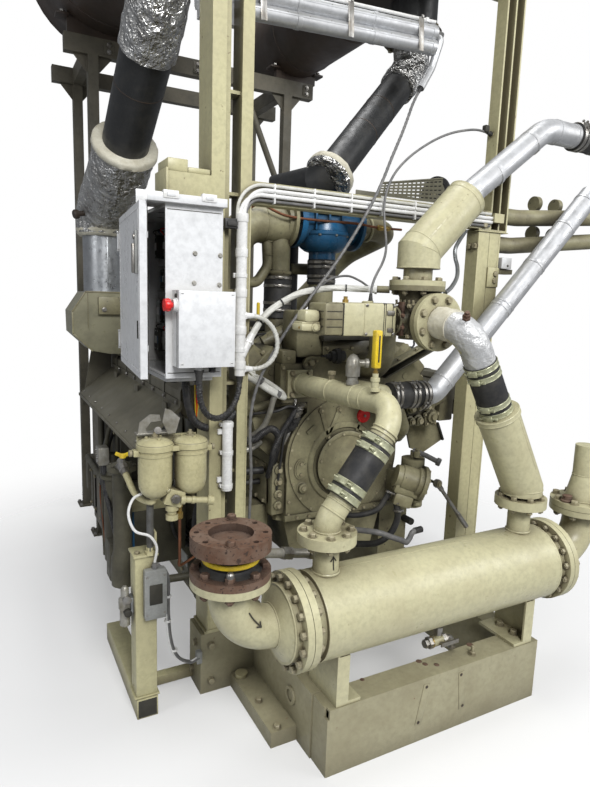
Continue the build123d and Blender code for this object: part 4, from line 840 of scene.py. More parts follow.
# Pipes, hoses and their clamps
p = Piece("hose_clamps", "clamp", "rubber")
for t in (152, 188, 326, 362):
    p.clamp(at(OUT_CORNER, OUT_WAY, t), OUT_WAY, 58, 24, (-0.8, -0.45, 0.6))
for t in (144, 180, 302, 338):
    p.clamp(at(DOWN_CORNER, DOWN_WAY, t), DOWN_WAY, 61, 22, (-0.9, -0.3, -0.5))
for t in (137, 355):
    p.bead(at(OUT_CORNER, OUT_WAY, t + 10), OUT_WAY, 58, 22, 1.5, "rubber")
p.done()

# Dark hoses with their clamps
p = Piece("dark_hose_clamps", "steel", "rubber")
p.lathe((50, 450, 1205), RIGHT, [(0, 50), (2, 57), (98, 57.5), (104, 54)], 40, "rubber")
for x in (60, 82):
    p.clamp((x, 450, 1205), RIGHT, 57.5, 13, (0, -0.7, 0.7))
for x in (152, 174, 211, 233):
    p.clamp((x, 450, 1205), RIGHT, 57, 15, (0, -0.7, 0.7 if x < 200 else -0.7))
for x in (917, 943, 1037, 1063):
    p.clamp((x, 350, 2345), RIGHT, 58, 16, (0, -0.8, 0.6 if x < 1000 else -0.6))
p.done()

# Welds of the front pipes
p = Piece("pipe_welds", "pipe")
OUTLET_RUN = Vector((55, -634, 10)).normalized()
for y in (446, 292, 233, 660):
    p.bead((-250 + (684 - y) / 634 * 55, y, 1236 + (684 - y) / 634 * 10), OUTLET_RUN, 44.5, 7, 2.5)
for t in (104, 118, 392, 428):
    p.bead(at(OUT_CORNER, OUT_WAY, t), OUT_WAY, 44.5 if t > 380 else 46, 7, 2.5)
for x in NOZZLES:
    p.bead((x, SHELL_Y, 846), UP, 44.5, 8, 3)
for t in (352, 368):
    p.bead(at(DOWN_CORNER, DOWN_WAY, t), DOWN_WAY, 84, 6, 2)
p.bead(MITRE, (0.3, 0, 0.95), 84, 5, 1.6)
p.bead((VALVE_X, VALVE_Y, 1733), UP, 84, 6, 2)
INSULATION_WAY = Vector((222, 0, 222)).normalized()
for t in (20, 292):
    p.bead(at(MITRE, INSULATION_WAY, t), INSULATION_WAY, 84, 6, 1.8)
for t in (0, 6):
    p.lathe(at((306, 350, 2022), INSULATION_WAY, -6 + t), INSULATION_WAY, [(0, 84), (3, 85), (6, 80)], 48)
p.done()

# Rivets and seams of the insulated pipes
p = Piece("insulation_seams", "pipe")
seam = Vector((-0.35, -0.87, 0.35))
for k in range(8):
    c = at(MITRE, INSULATION_WAY, 34 + k * 34)
    p.lathe(c + seam * 83.5, seam, [(0, 3.2), (2.2, 2.2)], 8)
p.block(at(MITRE, INSULATION_WAY, 156) + seam * 83.6, (268, 9, 1.6), INSULATION_WAY, seam, 0.5)
front = Vector((0.35, -0.92, 0.19))
for k in range(7):
    c = at(DOWN_CORNER, DOWN_WAY, 392 + k * 34)
    p.lathe(c + front * 79.5, front, [(0, 3.2), (2.2, 2.2)], 8)
p.block(at(DOWN_CORNER, DOWN_WAY, 498) + front * 79.2, (250, 10, 2.6), DOWN_WAY, front, 0.5)
p.bead((NOZZLES[1], SHELL_Y, 880), UP, 80, 6, 2)
p.done()

# Joints, seams and rivets of the bright clad pipes
CLAD_LOW, CLAD_BEND, CLAD_END = (306, 350, 2022), (722, 350, 2345), (905, 350, 2345)
LONG_START, LONG_LOW, LONG_END = (245, 450, 1205), (292, 450, 1205), (1195, 450, 2140)
CLAD_RADIUS = 50


def joint_rings(piece, start, end, places, thick=2.0):
    """Raised joints of the cladding at distances along a straight pipe."""
    way = (Vector(end) - Vector(start)).normalized()
    edge, middle = CLAD_RADIUS + thick, CLAD_RADIUS + thick * 0.6
    for t in places:
        piece.lathe(at(start, way, t - 9), way, [(0, CLAD_RADIUS), (1, edge), (6, middle), (12, middle),
                                                 (17, edge), (18, CLAD_RADIUS)], 48)


p = Piece("bright_pipe_joints", "cladding", "steel")
joint_rings(p, CLAD_LOW, CLAD_BEND, (26, 40, 180, 420))
joint_rings(p, CLAD_BEND, CLAD_END, (60, 170))
joint_rings(p, LONG_LOW, LONG_END, (80, 330, 520, 545, 800, 1060, 1240))
joint_rings(p, LONG_START, LONG_LOW, (8,))
clad_way = Vector(CLAD_BEND) - Vector(CLAD_LOW)
long_way = Vector(LONG_END) - Vector(LONG_LOW)
p.block((510, 299, 2180), (440, 7, 2.0), clad_way, FRONT, 0.5)
p.block((743, 399.5, 1672), (1200, 7, 2.0), long_way, FRONT, 0.5)
for k in range(14):
    c = at(LONG_LOW, long_way.normalized(), 60 + 88 * k)
    p.lathe(c + Vector((0, -51, 0)), FRONT, [(0, 3.0), (1.8, 1.8)], 8, "steel")
p.done()

# Thermometers of the outlet pipe
WELL_X, WELL_Y = -231, 160
p = Piece("thermometers", "brass", "yellow", "pipe", "black_and_hole_shade")
p.lathe((WELL_X, WELL_Y, 1284), UP, [(0, 19), (12, 19), (14, 14), (34, 14), (36, 17), (48, 17), (50, 11),
                                (64, 11)], 20, "pipe")
p.lathe((WELL_X, WELL_Y, 1344), UP, [(0, 9), (12, 9), (14, 6), (30, 6)], 12)
p.box((-245, 147, 1366), (-217, 173, 1500), 5, "yellow")
p.box((-238, 145.2, 1382), (-224, 148, 1488), 2, "yellow")
p.box((-234.5, 144.4, 1388), (-227.5, 147, 1482), 0.8, "black_and_hole_shade")
p.lathe((-447, 700, 1470), UP, [(0, 5), (12, 5), (13, 7), (104, 7), (108, 4)], 14, "yellow")
p.done()

# Three-way valve and its drive
p = Piece("valve_bolts", "bolt", "engine", "rubber")
p.hexes((VALVE_X, 202, VALVE_Z), FRONT, 180, 8, 22, 12, both=42)
p.hexes((VALVE_X, VALVE_Y, 1684), UP, 180, 8, 22, 12, both=40)
p.bead((VALVE_X, 223, VALVE_Z), BACK, 95, 3, 2, "rubber")
p.bead((VALVE_X, VALVE_Y, 1664), UP, 95, 3, 2, "rubber")
p.lathe((VALVE_X, 232, VALVE_Z), BACK, [(10, 80), (34, 68), (60, 66)], 32, "engine")
p.lathe((VALVE_X, VALVE_Y, 1600), UP, [(0, 66), (20, 68), (44, 82)], 32, "engine")
p.lathe((10, VALVE_Y, VALVE_Z), LEFT, [(-40, 62), (0, 60), (14, 52), (30, 50), (34, 58), (44, 58)], 28,
        "engine")
for k in range(6):
    a = math.radians(60 * k + 30)
    p.bolt((-26, VALVE_Y + 46 * math.cos(a), VALVE_Z + 46 * math.sin(a)), LEFT, 15, 8)
p.block((40, 280, 1470), (30, 26, 22), RIGHT, (0, -1, 0.6), 4, "engine")
p.bolt((158, VALVE_Y, VALVE_Z), RIGHT, 40, 14, "engine")
p.done()

# Casing, covers and glands of the valve's drive
p = Piece("drive_details", "pipe", "engine", "black_and_hole_shade", "steel", "brass")
p.box((-205, 284, 1468), (-58, 416, 1592), 9)
for x in (-118, -110, -78):
    p.box((x, 282.6, 1470), (x + 2.4, 417, 1593), 0.6, "black_and_hole_shade")
p.box((-371, 287, 1473), (-292, 413, 1588), 8, "engine")
p.box((-294, 285, 1470), (-200, 415, 1591), 9)
for z in (1502, 1530, 1558):
    p.box((-364, 284.5, z), (-300, 288, z + 2), 0.8, "black_and_hole_shade")
    p.box((-373.5, 300, z), (-370, 400, z + 2), 0.8, "black_and_hole_shade")
p.box((-295, 286, 1472), (-292, 414, 1589), 0.6, "black_and_hole_shade")
p.box((-100, 280, 1484), (-72, 286, 1500), 2, "steel")
p.box((-104, 279, 1548), (-70, 286, 1566), 2, "steel")
p.box((-438, 316, 1516), (-373, 386, 1562), 14)
p.box((-452, 312, 1486), (-371, 392, 1514), 9)
p.box((-446, 322, 1508), (-371, 386, 1520), 4)
p.lathe((-398, 313, 1500), FRONT, [(0, 14), (4, 14), (5, 9), (9, 9)], 16)
p.lathe((-440, 330, 1498), LEFT, [(0, 8), (8, 8), (9, 5), (14, 5)], 6, "brass")
for x, z in ((-195, 1584), (-70, 1584), (-195, 1478), (-70, 1478)):
    p.lathe((x, 284.5, z), FRONT, [(0, 6), (3, 6), (4, 4)], 12, "steel")
p.box((-62, 318, 1497), (-20, 382, 1557), 5, "engine")
p.lathe((-150, 350, 1591), UP, [(0, 22), (5, 22), (8, 16)], 20)
p.lathe((-262, 330, 1588), UP, [(0, 12), (14, 12), (15, 8), (26, 8)], 6, "brass")
p.done()

# Wrapping and sensor of the downpipe elbow
p = Piece("downpipe_elbow", "tape", "wrap", "rust")
bend = rounded([(VALVE_X, 204, VALVE_Z), DOWN_CORNER, tuple(at(DOWN_CORNER, DOWN_WAY, 134))], 84, 12)
p.tube(dense(bend, 14), 57.5, 40)
p.tube(dense([(VALVE_X, 203, VALVE_Z), (86, 118, 1517)], 6), 61.5, 40, "wrap")
p.shake(2.6, 48, 4)
p.lathe((52, 30, 1556), (-0.45, -0.6, 0.66), [(-8, 16), (2, 16), (3, 12), (16, 12), (17, 8), (26, 8)], 6,
        "rust")
p.done()

# Exhaust with foil, rings and the galvanised housing
p = Piece("foil_elbow_left", "foil")
run = [(RISER_X, RISER_Y, 1922), (RISER_X, RISER_Y, 2045), (-806.2, 1612, 2203.4), LEFT_LOW]
bend = rounded(run, 150, 12)
p.tube(dense(bend, 16), 147, 56)
p.shake(5.5, 22, 2)
p.done(50)

# Wrapped rings at the ends of the foil bends
p = Piece("exhaust_rings", "wrap", "foil")
p.lathe(at(LEFT_LOW, LEFT_RISE, -16), LEFT_RISE, [(0, 118), (0, 150), (8, 158), (30, 156), (38, 148),
                                                  (38, 111)], 48)
p.lathe(at(LEFT_LOW, LEFT_RISE, -26), LEFT_RISE, [(0, 140), (0, 152), (14, 155), (14, 140)], 48, "foil")
p.lathe((RISER_X, RISER_Y, 1906), UP, [(0, 116), (0, 132), (14, 146), (34, 150), (44, 146)], 48)
p.lathe(at(RIGHT_LOW, RIGHT_RISE, -20), RIGHT_RISE, [(0, 86), (0, 112), (8, 118), (34, 116), (40, 108),
                                                     (40, 81)], 40)
p.lathe(at(RIGHT_LOW, RIGHT_RISE, -34), RIGHT_RISE, [(0, 84), (0, 108), (16, 116), (18, 84)], 40, "foil")
p.shake(3.0, 60, 7)
p.done(50)

# Foil on the bend below the left silencer
p = Piece("foil_left_top", "foil")
top_line = rounded([tuple(at(LEFT_HIGH, LEFT_RISE, -210)), LEFT_HIGH, (-787, 940, 3178)], 180, 10)
p.tube(dense(top_line, 18), 121, 48)
p.shake(5, 26, 9)
p.done(50)

# Foil on the bend below the right silencer
p = Piece("foil_right", "foil")
top_line = rounded([tuple(at(RIGHT_HIGH, RIGHT_RISE, -170)), RIGHT_HIGH, (600, 1150, 2935)], 112, 10)
p.tube(dense(top_line, 14), 92, 44)
p.shake(4.5, 30, 5)
p.done(50)

# Flanges and sensor of the exhaust pipes
p = Piece("exhaust_flanges", "drum", "bolt")
p.lathe((600, 1150, 2922), UP, [(0, 100), (0, 148), (20, 148), (20, 126), (28, 126), (28, 148), (48, 148),
                                (48, 120)], 48)
p.hexes((600, 1150, 2922), DOWN, 262, 8, 24, 12, "bolt", both=48)
for a, r, line in ((LEFT_LOW, 109.5, LEFT_RISE), (RIGHT_LOW, 79.5, RIGHT_RISE)):
    for t in (330, 520):
        p.bead(at(a, line, t), line, r, 5, 1.2)
p.lathe((-936, 1941, 2012), (-0.87, -0.16, -0.2), [(-20, 14), (24, 14), (26, 24), (44, 26), (52, 20)], 16)
p.done()

# Seam, rivets and cover of the riser and its housing
p = Piece("riser_seams", "galvanised", "steel", "engine")
p.box((-809, 1963, 1606), (-801, 1967, 1900), 0.8)
for k in range(7):
    p.lathe((-815, 1965.5, 1620 + 46 * k), FRONT, [(0, 3), (1.8, 1.8)], 8, "steel")
edge = [(-908, 1271), (-1007, 1366), (-1009, 1487), (-938, 1595), (-702, 1595)]
for (xa, za), (xb, zb) in zip(edge, edge[1:]):
    mid = ((xa + xb) / 2, 1899, (za + zb) / 2)
    p.block(mid, (math.hypot(xb - xa, zb - za) + 4, 3, 9), (xb - xa, 0, zb - za), UP, 1, "engine")
p.box((-875, 1872, 1474), (-745, 1900, 1570), 3, "engine")
p.lathe((-845, 1872, 1500), FRONT, [(0, 14), (2, 14), (3, 9), (14, 9)], 6, "steel")
p.box((-930, 1896, 1400), (-926, 1900, 1590), 0.8, "engine")
p.done()

# Clad pipes above the portal
p = Piece("clad_pipe_fittings", "cladding", "steel", "white_plastic", "cable")
TILT = Vector((1097, 0, 66)).normalized()
CLAD_TOP_Z, CLAD_DROP = 2712, 60
for drop in (0, CLAD_DROP):
    start = Vector((-712, 711, CLAD_TOP_Z - drop))
    for t in (18, 400, 760, 1070):
        p.lathe(at(start, TILT, t), TILT, [(0, 31), (1, 33), (20, 33), (22, 31)], 36)
    p.block(at(start, TILT, 560) + Vector((0, -31.3, 6)), (1060, 1.6, 6), TILT, UP, 0.4)
    for k in range(11):
        p.lathe(at(start, TILT, 60 + 98 * k) + Vector((0, -31, 10)), (0, -1, 0.3), [(0, 2.6), (1.6, 1.6)],
                8, "steel")
for t in (250, 640, 1000):
    c = at((-712, 711, CLAD_TOP_Z - CLAD_DROP / 2), TILT, t)
    p.block(c + Vector((0, -33, 0)), (26, 3, 132), TILT, UP, 1, "steel")
    p.bolt(c + Vector((0, -34, 70)), FRONT, 10, 5, "steel")
WIRE_START = (-712, 700, 2752)
wire = [at(WIRE_START, TILT, t) for t in (320, 1090)]
p.tube(dense([tuple(w) for w in wire], 60), 7, 10, "white_plastic")
for t in (640, 1040):
    p.block(at(WIRE_START, TILT, t), (16, 20, 18), TILT, UP, 2, "white_plastic")
for t in range(24):
    p.bead(at((385, 711, 2778), (1, 0, -0.16), 2 + t * 1.6), (1, 0, -0.16), 17, 1.4, 0.8, "cable")
p.done()

# Silencers, platform and portal
p = Piece("silencer_bands", "drum", "steel")
for x, z, r, back in ((-680, 3519, 420, 2790), (560, 3349, 250, 2760)):
    for y in (574, 1130, 1690, 2250, back - 74):
        p.bead((x, y, z), BACK, r, 10, 4)
    for y in (610, 2400):
        for side in (-1, 1):
            p.block((x + side * r * 0.66, y, z - r * 0.86), (70, 90, 14), RIGHT, UP, 2)
            p.bolt((x + side * r * 0.66, y - 28, z - r * 0.86 + 7), UP, 24, 12, "steel")
    p.box((x - 5, 580, z + r - 1), (x + 5, back - 80, z + r + 3), 1)
    p.lathe((x, back - 12, z), BACK, [(0, r * 0.42), (34, r * 0.42), (34, r * 0.6), (56, r * 0.6)], 48)
    p.hexes((x, back + 44, z), BACK, r * 1.06, 10, 20, 10, "steel")
p.done()

# Gussets, feet and joints of the platform
p = Piece("platform_fittings", "dark_frame", "steel")
for x in (-792, 499):
    for y in (2400, 3000):
        for side in (-1, 1):
            p.plate([(x + side * 30, y - 4, 2970), (x + side * 112, y - 4, 2970),
                     (x + side * 30, y - 4, 2872)], BACK, 8)
        p.box((x - 62, y - 62, 0), (x + 62, y + 62, 12), 2)
        for dx, dy in ((-48, -48), (48, -48), (-48, 48), (48, 48)):
            p.bolt((x + dx, y + dy, 12), UP, 20, 10, "steel")
for x in (-700, -150, 200, 640):
    p.box((x - 30, 2366, 2985), (x + 30, 2371, 3055), 1.5)
    for z in (3000, 3040):
        p.bolt((x, 2366, z), FRONT, 20, 10, "steel")
p.done()

# Bolts, grooves and ledges of the portal
p = Piece("portal_fittings", "frame", "bolt")
for x, y, z, d in ((602, POST_FRONT, 1957, FRONT), (604, POST_FRONT, 2003, FRONT), (574, 552, 1862, LEFT),
                   (574, 590, 1862, LEFT), (691, POST_FRONT, 1741, FRONT), (688, POST_FRONT, 1709, FRONT),
                   (-695, POST_FRONT, 207, FRONT), (-694, POST_FRONT, 51, FRONT),
                   (-590, POST_FRONT, 207, FRONT), (620, POST_FRONT, 225, FRONT),
                   (700, POST_FRONT, 225, FRONT), (-738, 600, 200, LEFT), (-738, 640, 60, LEFT)):
    p.bolt((x, y, z), d, 24, 12, "bolt")
p.lathe((-575, 505, 60), UP, [(0, 26), (14, 26), (14, 14)], 20)
p.box((-716, 536, 262), (-552, 544, 276), 2)
p.block((678, 537, 1725), (70, 8, 90), RIGHT, UP, 1.5)
for x in (-708, -560, 578, 706):
    p.box((x - 3, 538.5, 272), (x + 3, 541, 1935), 1)
p.box((566, 532, 1928), (752, 620, 1932), 1.5)
p.box((-868, 545, 2020), (-796, 672, 2064), 3)
p.box((-796, 545, 2020), (-713, 672, 2040), 3)
p.box((-876, 536, 1930), (-868, 684, 2030), 2)
p.done()

# Electrical cabinet, whose door stands ajar
DOOR_AJAR = math.radians(5.5)
DOOR_HINGE = Vector((-941, MIXER_Y, 0))
DOOR_WAY = Vector((-math.sin(DOOR_AJAR), -math.cos(DOOR_AJAR), 0))
DOOR_OUT = Vector((-math.cos(DOOR_AJAR), math.sin(DOOR_AJAR), 0))


def door_point(s, out, z):
    """A point of the door from its distance to the hinge, its outward offset and its height."""
    return DOOR_HINGE + DOOR_WAY * s + DOOR_OUT * out + Vector(UP) * z


p = Piece("door_details", "white", "steel", "black_and_hole_shade", "grey", body="door")
for s0, s1, z0, z1 in ((30, 560, 1338, 1340), (30, 560, 1873, 1875), (30, 32, 1338, 1875),
                       (558, 560, 1338, 1875)):
    p.block(door_point((s0 + s1) / 2, 0.6, (z0 + z1) / 2), (s1 - s0 + 2, 2.4, z1 - z0 + 3), DOOR_WAY, UP,
            0.8)
p.block(door_point(530, 5, 1735), (34, 10, 140), DOOR_WAY, UP, 4, "grey")
p.block(door_point(530, 14, 1715), (18, 10, 96), DOOR_WAY, UP, 4, "steel")
p.lathe(door_point(530, 8, 1785), DOOR_OUT, [(0, 9), (6, 9), (7, 5)], 16, "steel")
p.block(door_point(530, 1.2, 1480), (16, 3, 60), DOOR_WAY, UP, 1, "black_and_hole_shade")
for s, z in ((577, 1740), (577, 1480)):
    p.block(door_point(s, -12, z), (5, 12, 52), DOOR_WAY, UP, 1, "black_and_hole_shade")
for s0, s1, z0, z1 in ((24, 570, 1332, 1340), (24, 570, 1873, 1881), (24, 34, 1332, 1881),
                       (560, 570, 1332, 1881)):
    p.block(door_point((s0 + s1) / 2, -26, (z0 + z1) / 2), (s1 - s0, 5, z1 - z0), DOOR_WAY, UP, 1.5,
            "black_and_hole_shade")
p.block(door_point(300, -30, 1480), (300, 14, 200), DOOR_WAY, UP, 3, "grey")
p.block(door_point(300, -34, 1560), (280, 8, 40), DOOR_WAY, UP, 2)
for z in (1420, 1790):
    p.block(door_point(320, -27, z), (500, 5, 22), DOOR_WAY, UP, 1.5)
p.done()

# Switchgear, ducts and wires in the cabinet, drawn at random from a fixed seed
p = Piece("cabinet_inside", "galvanised", "grey", "black_and_hole_shade", "white", "blue", "red")
p.box((-722, 440, 1338), (-719, 972, 1876), 0.8)
random.seed(7)
for z in (1790, 1660, 1530, 1410):
    p.box((-733, 450, z - 17), (-722, 962, z + 17), 1.5)
    y = 462
    while y < 930:
        w = random.choice((18, 18, 27, 36, 45))
        h, d = random.choice(((84, 66), (76, 58), (92, 74), (60, 48)))
        look = random.choice(("grey", "black_and_hole_shade", "black_and_hole_shade", "white", "black_and_hole_shade", "grey"))
        p.box((-733 - d, y, z - h / 2), (-733, y + w - 1.2, z + h / 2), 1.5, look)
        p.box((-736 - d, y + 3, z - h / 6), (-732 - d, y + w - 5, z + h / 6), 1,
              random.choice(("black_and_hole_shade", "white", "blue", "red", "grey")))
        for e in (-1, 1):
            p.lathe((-733 - d, y + w / 2, z + e * h * 0.4), LEFT, [(-1, 3), (1, 3)], 8)
        y += w + random.choice((0, 0, 0, 12))
for z in (1725, 1595, 1470):
    p.box((-790, 448, z - 14), (-722, 964, z + 14), 1.5, "grey")
for k in range(14):
    y, z = 470 + 36 * k, random.choice((1790, 1660, 1530, 1410))
    p.hose([(-800, y, z + 40), (-815, y + 3, z + 58), (-795, y + 8, z + 66), (-770, y + 10, z + 62)], 5,
           2.2, 8, random.choice(("black_and_hole_shade", "blue", "red")))
p.box((-911, 423, 1322), (-903, 987, 1330), 1, "white")
p.box((-911, 423, 1883), (-903, 987, 1891), 1, "white")
p.box((-911, 423, 1322), (-903, 431, 1891), 1, "white")
p.done()

# Lid, screws and glands of the cabinet and the junction box
p = Piece("cabinet_fittings", "white", "bracket", "black_and_hole_shade", "white_plastic", "rubber")
for x, z in ((-811, 1739), (-715, 1737), (-814, 1641), (-717, 1638)):
    p.bolt((x - (0 if x < -760 else 6), CABINET_FRONT, z), FRONT, 12, 6, "bracket")
p.box((-975, 398, 1895), (-706, 560, 1899), 1)
p.box((-975, 396, 1895), (-706, 399, 1922), 0.8)
p.box((-975, 556, 1899), (-706, 559, 1950), 0.8)
for x in (-900, -770):
    p.box((x - 26, 392, 1906), (x + 26, 412, 1932), 3, "white_plastic")
    p.box((x - 14, 389, 1912), (x + 14, 394, 1926), 2)
for z in (1336, 1876):
    p.box((-906, 418.5, z - 1), (-718, 421, z + 1), 0.4, "black_and_hole_shade")
p.box((-889, 343.5, 1362), (-692, 366, 1616), 5)
p.box((-890, 366, 1363), (-691, 368.5, 1615), 0.6, "black_and_hole_shade")
for x in (-878, -703):
    for z in (1373, 1605):
        p.lathe((x, 344, z), FRONT, [(-1, 7.5), (0.8, 7.5), (1.2, 6.5), (-0.4, 4.5)], 16, "white_plastic")
        p.box((x - 4, 342.4, z - 0.7), (x + 4, 343.6, z + 0.7), 0.2, "black_and_hole_shade")
p.lathe((-889, STOP_Y, STOP_Z), LEFT, [(0, 24), (4, 24), (5, 20), (14, 20), (14, 16.5)], 28,
        "white_plastic")
p.lathe((-889, 372, 1598), LEFT, [(0, 7), (5, 7), (6, 5)], 14, "black_and_hole_shade")
p.lathe((-760, 382, 1362), DOWN, [(0, 15), (8, 15), (9, 12), (22, 12)], 6, "rubber")
for x, y in ((-860, 500), (-820, 520), (-775, 500), (-850, 620), (-790, 640)):
    p.lathe((x, y, 1318), DOWN, [(0, 19), (10, 19), (11, 15), (26, 13)], 6, "rubber")
p.box((-900, 460, 1300), (-730, 700, 1319), 2)
p.done()

# Grip ribs of the stop button
p = Piece("stop_head", "red", body="stop")
p.lathe((-909, STOP_Y, STOP_Z), LEFT, [(0, 12), (2, 18), (5, 20.4), (15, 20.4), (20, 18), (22.4, 12),
                                       (22.8, 0)], 36)
for k in range(12):
    a = math.radians(30 * k)
    out = Vector((0, math.cos(a), math.sin(a)))
    p.block(Vector((-919, STOP_Y, STOP_Z)) + out * 20.6, (9, 3, 2.4), RIGHT, out, 0.6)
p.done()

# Conduits, looms and the cable run on the portal crossbeam
p = Piece("conduit_fittings", "white_plastic", "loom", "steel", "cable", "rubber", "yellow", "red",
          "white_cable")
for z in (1330, 1461, 1599, 1744, 1868):
    p.lathe((CONDUIT_X, CONDUIT_Y, z), UP, [(0, 20), (0, 22.4), (3, 23), (27, 23), (30, 22.4), (30, 20)],
            32)
for z in (1395, 1670):
    p.sleeve((CONDUIT_X, CONDUIT_Y, z), UP, 20, 23, 14, 24)
    p.box((-626, 528, z - 2), (-574, 541, z + 16), 2)
for z in (868, MIXER_Y, 1110):
    p.sleeve((-645, 520, z), UP, 20, 22.6, 14, 24)
    p.box((-672, 524, z), (-618, 541, z + 14), 2)
    p.bolt((-672, 530, z + 7), LEFT, 8, 4, "steel")
p.box((-668, 514, 1842), (-618, 541, 1878), 3, "rubber")
p.box((-660, 508, 1850), (-622, 516, 1866), 2, "rubber")
p.pipe([(-582, 524, 1876), (-582, 529, 1953), (628, 531.5, 1953)], 55, 10, 30, 5.5, 10, "cable")
p.pipe([(-618, 522, 1876), (-618, 527, 2008), (628, 527, 2006)], 105, 10, 30, 6.0, 10, "white_cable")
for x in (-470, -300, -130, 20, 190, 340, 500):
    p.box((x - 3, 519, 1944), (x + 3, 541, 2016), 1.5)
    p.box((x - 5, 514, 1984), (x + 7, 521, 1992), 1.5)
loom_line = smooth([(-800, 560, 1310), (-796, 560, 1262), (-786, 560, 1190), (-757, 560, 1126),
                    (-701, 558, 1101), (-640, 556, 1122), (-590, 570, 1160), (-560, 620, 1180),
                    (-556, 700, 1180)], 14)
p.tube(loom_line, [14 + 1.6 * (i % 2) for i in range(len(loom_line))], 16, "loom")
for t in (0.3, 0.52, 0.7):
    i = int(t * len(loom_line))
    p.rod(loom_line[i], loom_line[i + 1] - loom_line[i], 17, 9, 16, "rubber")
for k, (x, z, look) in enumerate(((-742, 1186, "yellow"), (-736, 1180, "red"), (-730, 1188, "yellow"))):
    p.hose([(x, 620, 1260), (x + 4, 626, z), (x + 14 - 6 * k, 640, 1120), (x + 30, 650, 1080)], 6, 3, 8,
           look)
p.done()

# Perforated tray above the crossbeam: upright and level strips with holes between them
TRAY_LOW = Vector((18, 552, 2026)), Vector((352, 552, 2040))
TRAY_TOP = Vector((24, 548, 2076)), Vector((338, 540, 2126))
TRAY_COLUMNS, TRAY_ROWS = 15, 6


def tray_point(u, v):
    """A point of the tray's face from its shares of the width and the height."""
    return TRAY_LOW[0].lerp(TRAY_LOW[1], u).lerp(TRAY_TOP[0].lerp(TRAY_TOP[1], u), v)


def strip(piece, u, half_u, v, half_v):
    """One strip of the tray between two shares of its width and of its height."""
    low_u, high_u, low_v, high_v = u - half_u, u + half_u, v - half_v, v + half_v
    around = ((low_u, low_v), (high_u, low_v), (high_u, high_v), (low_u, high_v))
    piece.plate([tray_point(*shares) for shares in around], BACK, 2.0)


p = Piece("perforated_tray", "tray", "steel")
for i in range(TRAY_COLUMNS):
    strip(p, i / (TRAY_COLUMNS - 1), 0.012, 0.5, 0.5)
for j in range(TRAY_ROWS):
    strip(p, 0.5, 0.51, j / (TRAY_ROWS - 1), 0.07)
p.tube([tray_point(u, 1.05) for u in (-0.01, 0.5, 1.01)], 3.5, 10)
p.plate([(352, 552, 2028), (372, 556, 2044), (366, 552, 2092), (340, 548, 2124)], BACK, 2)
p.box((20, 552, 2028), (350, 730, 2032), 1)
p.box((20, 728, 2028), (350, 731, 2076), 1)
p.done()

# Filter stand with its two bowls
p = Piece("filter_stand_frame", "frame", "black_and_hole_shade", "bolt")
p.box((-1002, 500, 0), (-922, 508, 80), 1.5)
p.box((-997, 499, 5), (-927, 502, 75), 1, "black_and_hole_shade")
p.box((-1002, 508, 0), (-922, 1100, 80), 3)
p.box((-1002, 510, 78), (-922, 590, 650), 4)
p.box((-1008, 504, 646), (-916, 596, 656), 2)
p.box((-922, 640, 20), (-738, 680, 60), 2)
p.box((-982, 540, 1032), (-774, 560, 1092), 3)
for x in (-990, -930):
    p.bolt((x, 530, 656), UP, 16, 8, "bolt")
p.box((-1010, 505, 80), (-914, 600, 88), 2)
p.block((-925, 545, 690), (10, 60, 90), RIGHT, UP, 2)
p.done()

# Filter bowls and the block that joins them
p = Piece("filter_bowls", "filter", "bolt", "engine")
for x in (-934, -806):
    p.lathe((x, BOWL_Y, 878), UP, [(0, 14), (0, 20), (8, 22), (10, 34), (22, 48), (40, 57), (64, 60),
                                   (160, 60), (162, 63), (172, 64), (174, 61), (180, 61), (182, 66),
                                   (200, 66), (203, 63), (209, 58), (216, 46), (221, 30), (223, 12),
                                   (224, 0)], 48)
    p.lathe((x, BOWL_Y, 1099), UP, [(0, 17), (4, 17), (5, 10), (14, 10), (15, 6), (22, 6)], 6, "bolt")
    p.lathe((x, BOWL_Y, 1078.5), UP, [(0, 65), (3.4, 63.2), (3.4, 61)], 48, "engine")
    for k in range(3):
        a = math.radians(40 + 120 * k)
        p.lathe((x + 30 * math.cos(a), BOWL_Y + 30 * math.sin(a), 1094), UP, [(0, 6), (9, 6), (10, 4)], 8)
p.plate([(-900, 440, 1056), (-840, 440, 1056), (-832, 480, 1056), (-840, 530, 1056), (-900, 530, 1056),
         (-908, 480, 1056)], UP, 18)
for x, side in ((-999, -1), (-741, 1)):
    p.box((x - 14, 462, 1040), (x + 14, 498, 1062), 3)
    p.lathe((x, 480, 1051), (side, 0, 0), [(-10, 7), (16, 7), (17, 12), (26, 12), (28, 8)], 12, "bolt")
p.box((-900, 500, 1050), (-850, 542, 1080), 4)
p.done(replaces=("filter_stand",))

# Pipes, cocks and the tall filter at the stand
p = Piece("filter_pipework", "grey_pipe", "filter", "brass", "copper", "yellow", "steel", "shade_paint")
p.tube(dense([(-945, 515, 650), (-945, 512, 880)], 30), 13, 18)
p.lathe((-945, 515, 652), UP, [(0, 20), (14, 20), (16, 15), (30, 15)], 6, "filter")
p.lathe((-945, 512, 850), UP, [(0, 15), (4, 18), (26, 18), (30, 14)], 6, "steel")
p.block((-872, 470, 880), (70, 54, 62), (1, 0, -0.35), (0.35, 0, 1), 7, "filter")
p.lathe((-872, 440, 880), FRONT, [(0, 18), (8, 18), (9, 13), (20, 13)], 6, "steel")
p.lathe((-850, 452, 872), (0.9, -0.1, -0.12), [(0, 19), (16, 19), (18, 13), (40, 13), (41, 15), (52, 15),
                                               (53, 12.5), (98, 12.5), (100, 17), (122, 17)], 14, "filter")
p.lathe((-876, 470, 850), DOWN, [(0, 24), (20, 24), (22, 17), (34, 17), (36, 23), (56, 23), (60, 12)], 16,
        "filter")
